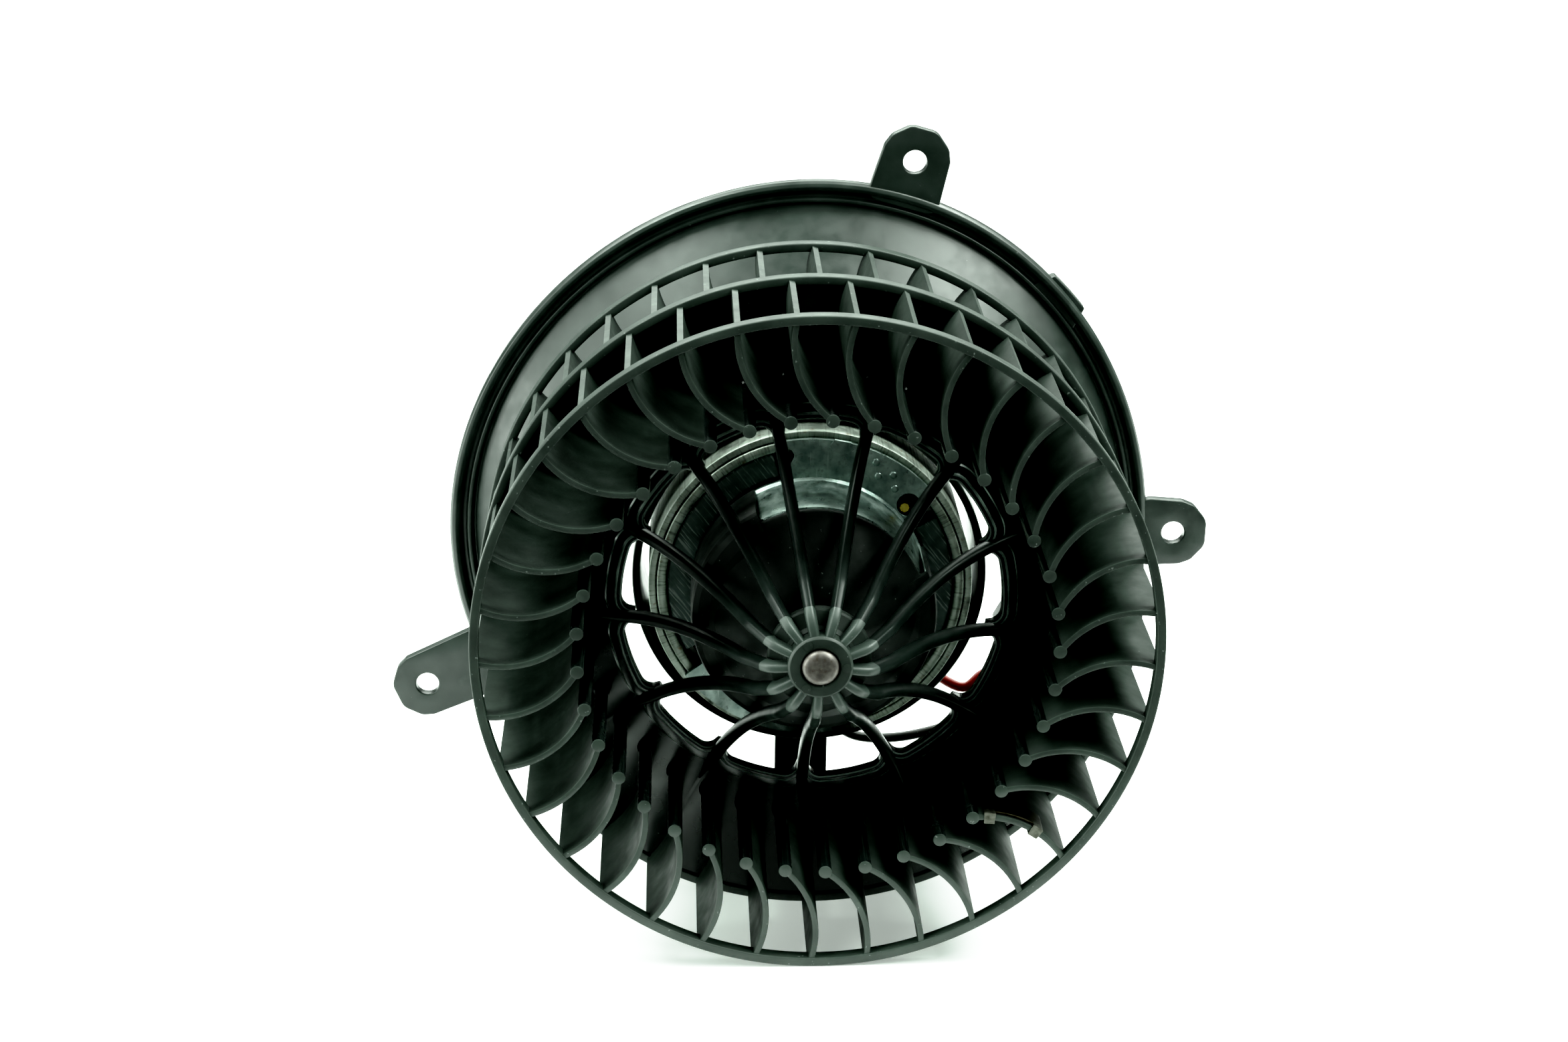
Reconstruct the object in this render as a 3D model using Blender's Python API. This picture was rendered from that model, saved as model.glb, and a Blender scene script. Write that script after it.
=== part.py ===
"""Heater blower: double-row centrifugal wheel on a brushed DC motor, with the flange that carries the motor.

Frame: the shaft axis lies along Y, +Z is up, and the wheel's inlet faces -Y. The origin is on the axis, in
the plane of the flange lip's front. Angles are counter-clockwise from +X, seen from the inlet.
Lengths are in millimetres and angles in degrees. They become metres and radians where meshes are made.
"""

import math

import bmesh
import bpy
from mathutils import Vector

MM = 0.001
GAP = 0.3

# Wheel
WHEEL_RADIUS = 75.0
WHEEL_FRONT = -82.5
WHEEL_DEPTH = 65.0
RIM_WIDTH = 2.0
RIM_DEPTH = 3.4
WEB_FRONT = WHEEL_FRONT + 33.0
WEB_THICKNESS = 1.8
WINDOW_RADIUS = 42.8
COLLAR_RADIUS = 46.6
COLLAR_HEIGHT = 1.4
WHEEL_BACK = WHEEL_FRONT + WHEEL_DEPTH

# Blades
BLADE_COUNT = 37
BLADE_PITCH = 360.0 / BLADE_COUNT
BLADE_FIRST = -88.2
BLADE_INNER_RADIUS = 52.1
BLADE_OUTER_RADIUS = 74.2
BLADE_LEAN = 6.6
BLADE_ARC_RADIUS = 21.0
BLADE_THICKNESS = 1.3
BLADE_RECESS = 0.35
PIN_RADIUS = 1.45
CLIP_ROOM = 0.5
BLADE_STEPS = 3
REAR_BLADE_START = 0.29

# Spokes and hub
SPOKE_COUNT = 13
SPOKE_FIRST = 267.0
SPOKE_BOWL = 0.029
SPOKE_END_RADIUS = 49.0
SPOKE_WIDTH = 2.4
SPOKE_DEPTH = 3.0
HUB_RADIUS = 7.0
HUB_SKIRT_RADIUS = 11.2
HUB_FRONT = WHEEL_FRONT - 8.2
HUB_BACK = WHEEL_FRONT + 8.0

# Shaft and bearings
SHAFT_RADIUS = 4.0
SHAFT_TIP = WHEEL_FRONT - 9.5
SHAFT_END = 12.5
ROUND_STEPS = 24
BEARING_BORE = 4.08
BEARING_RADIUS = 7.6
BEARING_LENGTH = 8.0

# Motor
MOTOR_TILT = 67.0
YOKE_RADIUS = 35.0
YOKE_WALL = 2.1
YOKE_FRONT = -41.0
YOKE_BACK = 3.0
FLUX_RING_RADIUS = 36.9
MAGNET_OUTER = 32.5
MAGNET_INNER = 26.8
MAGNET_SPAN = 104.0
MAGNET_FRONT = -40.0
MAGNET_BACK = -5.0
CORE_RADIUS = 26.0
CORE_FRONT = -36.0
CORE_BACK = -9.0
CORE_SLOTS = 12
DRUM_RADIUS = 25.0
DRUM_ROOT_RADIUS = 26.2
DRUM_WALL = 1.1
DRUM_FRONT = -59.0
PLATE_FRONT = -42.6
PLATE_THICKNESS = 1.2
PLATE_RADIUS = 35.6
PLATE_SPAN = 62.0
NOSE_REACH = 8.1
NOSE_WALL = 1.1
CAP_WALL = 1.2
CAP_HOLE_RADIUS = 5.0
SKIRT_START = 118.0
SKIRT_SWEEP = 264.0
TERMINAL_ANGLE = 42.0

# Brush gear, inside the drum
COMMUTATOR_RADIUS = 10.2
COMMUTATOR_FRONT = -56.0
COMMUTATOR_BACK = -46.0
BRUSH_WIDTH = 5.0
BRUSH_LENGTH = 7.0
BRUSH_DEPTH = 6.0
BRUSH_Y = -51.5
BRUSH_CENTRE = COMMUTATOR_RADIUS + GAP + BRUSH_LENGTH / 2
HOLDER_END = 23.4
HOLDER_WALL = 0.8
CARD_FRONT = -47.2
CARD_THICKNESS = 1.6
CHOKE_RADIUS = 2.2
CHOKE_LENGTH = 10.0
CHOKE_OFFSET = 16.0

# Flange
LIP_RADIUS = 83.9
LIP_SWELL = 1.0
LIP_SWELL_ANGLE = 70.0
CONE_INNER_RADIUS = 60.0
CONE_FRONT = -14.5
HOLDER_RADIUS = 40.7
HOLDER_BORE = 38.9
HOLDER_FRONT = -34.5
HOLDER_BACK = -3.0
LEG_ANGLES = (29.0, 149.0, 269.0)
LEG_WIDTH = 12.6
EAR_FRONT = 0.6
EAR_BACK = 3.4
EAR_HALF_WIDTH = 8.0
EAR_HOLE_RADIUS = 2.75
LUG_START = 37.0
LUG_SPAN = 10.5
LUG_HEIGHT = 1.2
EARS = {"top": (73.8, 92.4), "right": (-1.9, 89.7), "left": (203.5, 100.0)}
MOUNT_ANGLES = (90.0, 210.0, 330.0)

# Connector and leads
CONNECTOR_ANGLE = 330.0
CONNECTOR_RADIUS = 68.0
CONNECTOR_FRONT = 9.5
CONNECTOR_DEPTH = 20.0
LEAD_RADIUS = 1.2

MATERIALS = {
    "moulded_black": ((0.030, 0.036, 0.034), 0.48, 0.0),
    "cap_black": ((0.016, 0.019, 0.018), 0.60, 0.0),
    "shaft_steel": ((0.56, 0.53, 0.50), 0.30, 1.0),
    "yoke_steel": ((0.40, 0.41, 0.38), 0.45, 1.0),
    "zinc_plate": ((0.45, 0.52, 0.49), 0.35, 1.0),
    "spring_steel": ((0.42, 0.43, 0.43), 0.30, 1.0),
    "ferrite": ((0.060, 0.064, 0.066), 0.70, 0.0),
    "lamination": ((0.30, 0.31, 0.32), 0.50, 1.0),
    "copper": ((0.70, 0.28, 0.12), 0.35, 1.0),
    "brass": ((0.78, 0.62, 0.12), 0.30, 1.0),
    "bronze": ((0.48, 0.33, 0.18), 0.50, 1.0),
    "carbon": ((0.028, 0.028, 0.030), 0.65, 0.0),
    "card": ((0.10, 0.060, 0.030), 0.70, 0.0),
    "rubber": ((0.018, 0.018, 0.018), 0.85, 0.0),
    "lead_red": ((0.42, 0.022, 0.018), 0.45, 0.0),
    "lead_black": ((0.020, 0.020, 0.020), 0.45, 0.0),
    "connector": ((0.035, 0.037, 0.038), 0.50, 0.0),
}


def clear_scene():
    for obj in list(bpy.data.objects):
        bpy.data.objects.remove(obj)


def make_material(name):
    colour, roughness, metallic = MATERIALS[name]
    material = bpy.data.materials.new(name)
    material.use_nodes = True
    shader = material.node_tree.nodes["Principled BSDF"]
    shader.inputs["Base Color"].default_value = (*colour, 1.0)
    shader.inputs["Roughness"].default_value = roughness
    shader.inputs["Metallic"].default_value = metallic
    material.diffuse_color = (*colour, 1.0)
    return material


def radial(radius, angle, y):
    """A point at this radius and angle about the shaft axis."""
    turn = math.radians(angle)
    return Vector((radius * math.cos(turn), y, radius * math.sin(turn)))


def new_object(name, bm, material, centre=(0.0, 0.0, 0.0), parent=None):
    """An object from a bmesh in millimetres, with its origin at centre."""
    bmesh.ops.remove_doubles(bm, verts=bm.verts, dist=1e-4)
    bmesh.ops.recalc_face_normals(bm, faces=bm.faces)
    for vert in bm.verts:
        vert.co = (vert.co - Vector(centre)) * MM
    mesh = bpy.data.meshes.new(name)
    bm.to_mesh(mesh)
    bm.free()
    mesh.shade_smooth()
    mesh.set_sharp_from_angle(angle=math.radians(32.0))
    obj = bpy.data.objects.new(name, mesh)
    obj.location = Vector(centre) * MM
    obj.parent = parent
    bpy.context.scene.collection.objects.link(obj)
    if material:
        obj.data.materials.append(MATERIAL[material])
    return obj


def helper(obj):
    """Marks a Boolean's operand, which is no part of the object."""
    obj.hide_render = True
    obj.display_type = "WIRE"
    return obj


def boolean(obj, operand, operation):
    modifier = obj.modifiers.new(operation.lower() + "_" + operand.name, "BOOLEAN")
    modifier.operation = operation
    modifier.object = helper(operand)
    modifier.solver = "EXACT"


def add_lathe(bm, profile, start=0.0, sweep=360.0, steps=48):
    """Turns a closed (radius, y) outline about the shaft axis. A part turn gets two end faces."""
    closed = sweep >= 360.0
    rings = []
    for step in range(steps if closed else steps + 1):
        angle = start + sweep * step / steps
        rings.append([bm.verts.new(radial(r, angle, y)) for r, y in profile])
    for index in range(steps):
        first = rings[index]
        second = rings[(index + 1) % len(rings)]
        for corner in range(len(profile)):
            after = (corner + 1) % len(profile)
            if profile[corner][0] == 0.0 and profile[after][0] == 0.0:
                continue
            bm.faces.new((first[corner], first[after], second[after], second[corner]))
    if not closed:
        bm.faces.new(rings[0])
        bm.faces.new(reversed(rings[-1]))


def lathe(name, material, profile, parent=None, **turn):
    bm = bmesh.new()
    add_lathe(bm, profile, **turn)
    bmesh.ops.dissolve_degenerate(bm, dist=1e-5, edges=bm.edges)
    return new_object(name, bm, material, parent=parent)


def tube_profile(inner, outer, front, back):
    return [(inner, front), (inner, back), (outer, back), (outer, front)]


def add_prism(bm, outline, front, back):
    """Extrudes a closed outline of (x, z) points along Y."""
    base = bm.faces.new([bm.verts.new((x, front, z)) for x, z in outline])
    grown = bmesh.ops.extrude_face_region(bm, geom=[base], use_keep_orig=True)
    moved = [item for item in grown["geom"] if isinstance(item, bmesh.types.BMVert)]
    bmesh.ops.translate(bm, verts=moved, vec=(0.0, back - front, 0.0))


def prism(name, material, outline, front, back, parent=None):
    bm = bmesh.new()
    add_prism(bm, outline, front, back)
    return new_object(name, bm, material, parent=parent)


def turned(outline, angle):
    """An outline drawn about the +X direction, turned to this angle."""
    turn = math.radians(angle)
    cos, sin = math.cos(turn), math.sin(turn)
    return [(x * cos - z * sin, x * sin + z * cos) for x, z in outline]


def rectangle(low_x, high_x, half_width):
    return [(low_x, -half_width), (high_x, -half_width), (high_x, half_width), (low_x, half_width)]


def arc_points(centre, radius, start, end, steps):
    points = []
    for step in range(steps + 1):
        turn = math.radians(start + (end - start) * step / steps)
        points.append((centre[0] + radius * math.cos(turn), centre[1] + radius * math.sin(turn)))
    return points


def blade_centre():
    """The centre of the blade's arc, for a blade whose inner edge lies on the +X direction."""
    lean = math.radians(BLADE_LEAN)
    inner = Vector((BLADE_INNER_RADIUS, 0.0))
    outer = Vector((BLADE_OUTER_RADIUS * math.cos(lean), BLADE_OUTER_RADIUS * math.sin(lean)))
    chord = outer - inner
    reach = math.sqrt(BLADE_ARC_RADIUS**2 - chord.length_squared / 4.0)
    away = Vector((chord.y, -chord.x)).normalized()
    centre = (inner + outer) / 2.0 + away * reach
    start = math.degrees(math.atan2(inner.y - centre.y, inner.x - centre.x))
    end = math.degrees(math.atan2(outer.y - centre.y, outer.x - centre.x))
    return centre, start, end


def blade_sides(start, end):
    centre, _, _ = blade_centre()
    half = BLADE_THICKNESS / 2.0
    outer_side = arc_points(centre, BLADE_ARC_RADIUS + half, start, end, BLADE_STEPS)
    inner_side = arc_points(centre, BLADE_ARC_RADIUS - half, end, start, BLADE_STEPS)
    return outer_side + inner_side


def front_blade_outline():
    """A front blade's cross-section, with the round ejector pin on its inner edge."""
    _, start, end = blade_centre()
    clearance = math.degrees(PIN_RADIUS / BLADE_ARC_RADIUS)
    round_end = arc_points((BLADE_INNER_RADIUS, 0.0), PIN_RADIUS, -65.0, -295.0, 4)
    return blade_sides(start - clearance, end) + round_end


def rear_blade_outline():
    """A rear blade's cross-section: the same arc, but its inner edge lies further out."""
    _, start, end = blade_centre()
    return blade_sides(start + (end - start) * REAR_BLADE_START, end)


def add_blades(bm, outline, first, front, back):
    for index in range(BLADE_COUNT):
        add_prism(bm, turned(outline, first + index * BLADE_PITCH), front, back)


def spoke_y(radius):
    """The spokes' bowl: steep at the hub and level at the web."""
    return WEB_FRONT - 0.4 - SPOKE_BOWL * (SPOKE_END_RADIUS - radius) ** 2


def add_spoke(bm, angle):
    radii = (5.2, 12.4, 16.0, 21.0, 27.0, 34.0, 43.0, 50.2)
    side = radial(1.0, angle + 90.0, 0.0)
    rings = []
    for radius in radii:
        slope = 2.0 * SPOKE_BOWL * (SPOKE_END_RADIUS - radius)
        inside_hub = radius < HUB_SKIRT_RADIUS + 1.5
        y = spoke_y(max(radius, 12.0)) + (1.2 if radius < 9.0 else 0.0)
        taper = 1.0 if radius < 42.0 else 0.8 if radius < 48.0 else 0.35
        across = 0.5 * SPOKE_WIDTH * taper
        normal = (radial(slope, angle, 0.0) + Vector((0.0, 1.0, 0.0))).normalized()
        if inside_hub:
            normal = Vector((0.0, 1.0, 0.0))
        deep = 0.5 * SPOKE_DEPTH * taper
        middle = radial(radius, angle, y)
        corners = ((-0.7, -1.0), (0.7, -1.0), (1.0, 1.0), (-1.0, 1.0))
        rings.append([bm.verts.new(middle + side * across * a + normal * deep * d) for a, d in corners])
    for first, second in zip(rings, rings[1:]):
        for corner in range(len(first)):
            after = (corner + 1) % len(first)
            bm.faces.new((first[corner], first[after], second[after], second[corner]))
    bm.faces.new(rings[0])
    bm.faces.new(reversed(rings[-1]))


def make_wheel(rotor):
    inner = WHEEL_RADIUS - RIM_WIDTH
    middle = WEB_FRONT + WEB_THICKNESS / 2.0
    web_back = WEB_FRONT + WEB_THICKNESS
    web = [
        (WINDOW_RADIUS, web_back),
        (inner, web_back),
        (inner, middle + RIM_DEPTH / 2.0),
        (WHEEL_RADIUS, middle + RIM_DEPTH / 2.0),
        (WHEEL_RADIUS, middle - RIM_DEPTH / 2.0),
        (inner, middle - RIM_DEPTH / 2.0),
        (inner, WEB_FRONT),
        (COLLAR_RADIUS, WEB_FRONT),
        (COLLAR_RADIUS - 0.5, WEB_FRONT - COLLAR_HEIGHT / 2.0),
        (COLLAR_RADIUS - 2.0, WEB_FRONT - COLLAR_HEIGHT / 2.0),
        (COLLAR_RADIUS - 2.3, WEB_FRONT - COLLAR_HEIGHT),
        (WINDOW_RADIUS, WEB_FRONT - COLLAR_HEIGHT),
    ]
    wheel = lathe("fan_wheel_hub", "moulded_black", web, rotor, steps=BLADE_COUNT)

    bore = SHAFT_RADIUS + GAP / 2.0
    skirt_front = WHEEL_FRONT - 2.2
    hub_profile = [
        (bore, HUB_FRONT),
        (bore, HUB_BACK),
        (HUB_RADIUS, HUB_BACK),
        (HUB_RADIUS + 0.6, skirt_front + 3.4),
        (HUB_SKIRT_RADIUS, skirt_front + 2.4),
        (HUB_SKIRT_RADIUS, skirt_front),
        (HUB_RADIUS, skirt_front - 1.6),
        (HUB_RADIUS, HUB_FRONT),
    ]
    hub = lathe("wheel_hub", None, hub_profile, steps=ROUND_STEPS)

    bm = bmesh.new()
    for index in range(SPOKE_COUNT):
        add_spoke(bm, SPOKE_FIRST + index * 360.0 / SPOKE_COUNT)
    spokes = new_object("wheel_spokes", bm, None)

    boolean(wheel, hub, "UNION")
    boolean(wheel, spokes, "UNION")


def make_blade_row(name, rotor, rim_front, outline, first, front, back):
    """A rim with its blades. It is moulded with the hub, and keeps a small gap to it here."""
    rim = tube_profile(WHEEL_RADIUS - RIM_WIDTH, WHEEL_RADIUS, rim_front, rim_front + RIM_DEPTH)
    row = lathe(name, "moulded_black", rim, rotor, steps=BLADE_COUNT)
    bm = bmesh.new()
    add_blades(bm, outline, first, front, back)
    boolean(row, new_object(name + "_blades", bm, None), "UNION")


def make_blade_rows(rotor):
    middle = WEB_FRONT + WEB_THICKNESS / 2.0
    row_end = middle - RIM_DEPTH / 2.0 - GAP
    front = WHEEL_FRONT + BLADE_RECESS
    outline = front_blade_outline()
    make_blade_row("fan_wheel_front_blades", rotor, WHEEL_FRONT, outline, BLADE_FIRST, front, row_end)
    first = BLADE_FIRST + BLADE_PITCH / 2.0
    row_start = middle + RIM_DEPTH / 2.0 + GAP
    back = WHEEL_BACK - BLADE_RECESS
    outline = rear_blade_outline()
    make_blade_row("fan_wheel_rear_blades", rotor, WHEEL_BACK - RIM_DEPTH, outline, first, row_start, back)


def make_shaft(rotor):
    profile = [
        (0.0, SHAFT_TIP),
        (2.6, SHAFT_TIP + 0.15),
        (3.6, SHAFT_TIP + 0.5),
        (SHAFT_RADIUS, SHAFT_TIP + 1.1),
        (SHAFT_RADIUS, SHAFT_END - 0.6),
        (SHAFT_RADIUS - 0.6, SHAFT_END),
        (0.0, SHAFT_END),
    ]
    lathe("motor_shaft", "shaft_steel", profile, rotor, steps=ROUND_STEPS)


def core_outline():
    """Lamination with one tooth to a slot: a thin round tip on a straight neck."""
    neck = 2.1
    tip_root = CORE_RADIUS - 2.2
    half_tip = 180.0 / CORE_SLOTS - 3.0
    outline = []
    for tooth in range(CORE_SLOTS):
        angle = tooth * 360.0 / CORE_SLOTS
        shape = [(12.5, -neck), (tip_root - 1.0, -neck)]
        shape += arc_points((0.0, 0.0), CORE_RADIUS, -half_tip, half_tip, 3)
        shape += [(tip_root - 1.0, neck), (12.5, neck)]
        outline += turned(shape, angle)
    return outline


def make_armature(rotor):
    core = prism("armature_core", "lamination", core_outline(), CORE_FRONT, CORE_BACK, rotor)
    bore = tube_profile(0.0, SHAFT_RADIUS + GAP / 2.0, CORE_FRONT - 5.0, CORE_BACK + 5.0)
    boolean(core, lathe("core_bore", None, bore, steps=ROUND_STEPS), "DIFFERENCE")

    front_end = [
        (9.0, CORE_FRONT - GAP),
        (23.0, CORE_FRONT - GAP),
        (22.0, CORE_FRONT - 5.5),
        (12.0, CORE_FRONT - 6.5),
    ]
    back_end = [(r, CORE_FRONT + CORE_BACK - y) for r, y in front_end]
    winding = lathe("armature_winding", "copper", front_end, rotor, steps=30)
    rear_coil = lathe("rear_coil", None, back_end, steps=30)
    bm = bmesh.new()
    for slot in range(CORE_SLOTS):
        bar = [(14.5, -0.8), (21.5, -2.3), (21.5, 2.3), (14.5, 0.8)]
        angle = (slot + 0.5) * 360.0 / CORE_SLOTS
        add_prism(bm, turned(bar, angle), CORE_FRONT - 3.0, CORE_BACK + 3.0)
    bars = new_object("slot_bars", bm, None)
    boolean(winding, bars, "UNION")
    boolean(winding, rear_coil, "UNION")


def make_commutator(rotor):
    bars = 12
    outline = []
    for bar in range(bars):
        shape = arc_points((0.0, 0.0), COMMUTATOR_RADIUS, -12.5, 12.5, 2)
        shape += turned([(COMMUTATOR_RADIUS - 1.0, 0.0)], 15.0)
        outline += turned(shape, bar * 360.0 / bars)
    commutator = prism("commutator", "copper", outline, COMMUTATOR_FRONT, COMMUTATOR_BACK, rotor)
    bore = tube_profile(0.0, SHAFT_RADIUS + GAP / 2.0, COMMUTATOR_FRONT - 4.0, COMMUTATOR_BACK + 4.0)
    boolean(commutator, lathe("commutator_bore", None, bore, steps=ROUND_STEPS), "DIFFERENCE")


def make_washers(rotor):
    inner = SHAFT_RADIUS + GAP / 2.0
    front = tube_profile(inner, 7.0, COMMUTATOR_FRONT - 1.3, COMMUTATOR_FRONT - GAP)
    back = tube_profile(inner, 7.0, -1.9, -0.9)
    lathe("thrust_washer_front", "bronze", front, rotor, steps=ROUND_STEPS)
    lathe("thrust_washer_rear", "bronze", back, rotor, steps=ROUND_STEPS)


def make_balance_clip(rotor):
    """A bent steel strip astride the front edge of one blade."""
    centre, start, end = blade_centre()
    inner = BLADE_THICKNESS / 2.0 + CLIP_ROOM
    outer = inner + 0.6
    at = start + (end - start) * 0.40
    reach = math.degrees(2.2 / BLADE_ARC_RADIUS)
    angle = BLADE_FIRST + 4 * BLADE_PITCH
    front = WHEEL_FRONT + BLADE_RECESS - GAP / 2.0
    bm = bmesh.new()
    section = [
        (-outer, front + 7.0),
        (-outer, front - 0.6),
        (outer, front - 0.6),
        (outer, front + 7.0),
        (inner, front + 7.0),
        (inner, front),
        (-inner, front),
        (-inner, front + 7.0),
    ]
    rings = []
    for step in range(3):
        turn = at + reach * (step - 1)
        ring = []
        for across, y in section:
            x, z = turned(arc_points(centre, BLADE_ARC_RADIUS + across, turn, turn, 1)[:1], angle)[0]
            ring.append(bm.verts.new((x, y, z)))
        rings.append(ring)
    for first, second in zip(rings, rings[1:]):
        for corner in range(len(section)):
            after = (corner + 1) % len(section)
            bm.faces.new((first[corner], first[after], second[after], second[corner]))
    bm.faces.new(rings[0])
    bm.faces.new(reversed(rings[-1]))
    new_object("balance_clip", bm, "spring_steel", parent=rotor)


def ear_outline(hole_radius, angle):
    """A flat ear whose end is cut off at the corners."""
    root = LIP_RADIUS - 4.5
    shape = [
        (root, EAR_HALF_WIDTH),
        (hole_radius + 2.0, EAR_HALF_WIDTH),
        (hole_radius + 4.8, EAR_HALF_WIDTH - 1.1),
        (hole_radius + 7.6, 3.6),
        (hole_radius + 8.0, 2.4),
    ]
    mirrored = [(x, -z) for x, z in reversed(shape)]
    return turned(mirrored + shape, angle)


def swell_lip(bm):
    """The lip stands out a little between the legs, which hold it in."""
    for vert in bm.verts:
        radius = math.hypot(vert.co.x, vert.co.z)
        angle = math.atan2(vert.co.z, vert.co.x)
        share = (radius - CONE_INNER_RADIUS) / (LIP_RADIUS - CONE_INNER_RADIUS)
        swell = LIP_SWELL * share * math.cos(3.0 * (angle - math.radians(LIP_SWELL_ANGLE)))
        vert.co.x *= (radius + swell) / radius
        vert.co.z *= (radius + swell) / radius


def add_lug(bm):
    """A low catch on the lip's edge."""
    end = LUG_START + LUG_SPAN
    root = arc_points((0.0, 0.0), LIP_RADIUS - 4.0, end, LUG_START, 3)
    top = arc_points((0.0, 0.0), LIP_RADIUS + LUG_HEIGHT, LUG_START + 1.6, end - 1.6, 3)
    add_prism(bm, root + top, 1.4, 5.4)


def make_flange():
    """Lip, cone, ears, legs and motor holder, moulded in one piece."""
    profile = [
        (LIP_RADIUS, 3.4),
        (LIP_RADIUS, 0.9),
        (LIP_RADIUS - 0.7, 0.0),
        (LIP_RADIUS - 2.0, 0.0),
        (LIP_RADIUS - 2.9, 1.9),
        (LIP_RADIUS - 3.7, 1.9),
        (LIP_RADIUS - 4.2, 0.8),
        (LIP_RADIUS - 5.0, 0.8),
        (LIP_RADIUS - 5.6, 1.8),
        (CONE_INNER_RADIUS, CONE_FRONT),
        (CONE_INNER_RADIUS, CONE_FRONT + 3.0),
        (LIP_RADIUS - 5.8, 4.2),
        (LIP_RADIUS - 2.0, 4.2),
    ]
    bm = bmesh.new()
    add_lathe(bm, profile, steps=72)
    swell_lip(bm)
    flange = new_object("motor_flange", bm, "moulded_black")
    for name, (angle, hole_radius) in EARS.items():
        outline = ear_outline(hole_radius, angle)
        boolean(flange, prism("ear_" + name, None, outline, EAR_FRONT, EAR_BACK), "UNION")
    bm = bmesh.new()
    add_lug(bm)
    boolean(flange, new_object("lip_lug", bm, None), "UNION")

    ring = tube_profile(HOLDER_BORE, HOLDER_RADIUS, HOLDER_FRONT, HOLDER_BACK)
    boolean(flange, lathe("holder_ring", None, ring, steps=48), "UNION")
    bm = bmesh.new()
    for angle in LEG_ANGLES:
        add_prism(bm, turned(rectangle(39.6, 62.5, LEG_WIDTH / 2.0), angle), -11.0, -4.5)
    boolean(flange, new_object("holder_legs", bm, None), "UNION")
    foot = turned(rectangle(CONNECTOR_RADIUS + 5.6, LIP_RADIUS - 4.0, 6.0), CONNECTOR_ANGLE)
    boolean(flange, prism("connector_foot", None, foot, 2.8, CONNECTOR_FRONT - GAP), "UNION")

    bm = bmesh.new()
    for angle, hole_radius in EARS.values():
        x, z = turned([(hole_radius, 0.0)], angle)[0]
        add_prism(bm, arc_points((x, z), EAR_HOLE_RADIUS, 0.0, 345.0, 23), EAR_FRONT - 5.0, EAR_BACK + 5.0)
    boolean(flange, new_object("ear_holes", bm, None), "DIFFERENCE")


def make_yoke():
    inner = YOKE_RADIUS - YOKE_WALL
    pocket = BEARING_RADIUS + GAP
    profile = [
        (inner, YOKE_FRONT),
        (inner, YOKE_BACK - YOKE_WALL),
        (pocket, YOKE_BACK - YOKE_WALL),
        (pocket, YOKE_BACK + 7.0),
        (5.6, YOKE_BACK + 7.0),
        (5.6, YOKE_BACK + 8.6),
        (pocket + 1.5, YOKE_BACK + 8.6),
        (pocket + 1.5, YOKE_BACK),
        (YOKE_RADIUS - 2.5, YOKE_BACK),
        (YOKE_RADIUS, YOKE_BACK - 2.5),
        (YOKE_RADIUS, YOKE_FRONT),
    ]
    lathe("motor_yoke", "yoke_steel", profile, steps=40)
    ring = tube_profile(YOKE_RADIUS + GAP, FLUX_RING_RADIUS, YOKE_FRONT + 0.3, -6.0)
    lathe("flux_ring", "yoke_steel", ring, steps=40)


def make_magnets():
    profile = tube_profile(MAGNET_INNER, MAGNET_OUTER, MAGNET_FRONT, MAGNET_BACK)
    clip = tube_profile(MAGNET_OUTER - 1.2, MAGNET_OUTER - 0.2, MAGNET_FRONT + 3.0, MAGNET_BACK - 3.0)
    gap_span = 180.0 - MAGNET_SPAN - 3.0
    for letter, side in (("a", 90.0), ("b", 270.0)):
        start = MOTOR_TILT + side - MAGNET_SPAN / 2.0
        lathe("field_magnet_" + letter, "ferrite", profile, start=start, sweep=MAGNET_SPAN, steps=14)
        start = MOTOR_TILT + side - 90.0 - gap_span / 2.0
        lathe("magnet_clip_" + letter, "spring_steel", clip, start=start, sweep=gap_span, steps=9)


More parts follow.
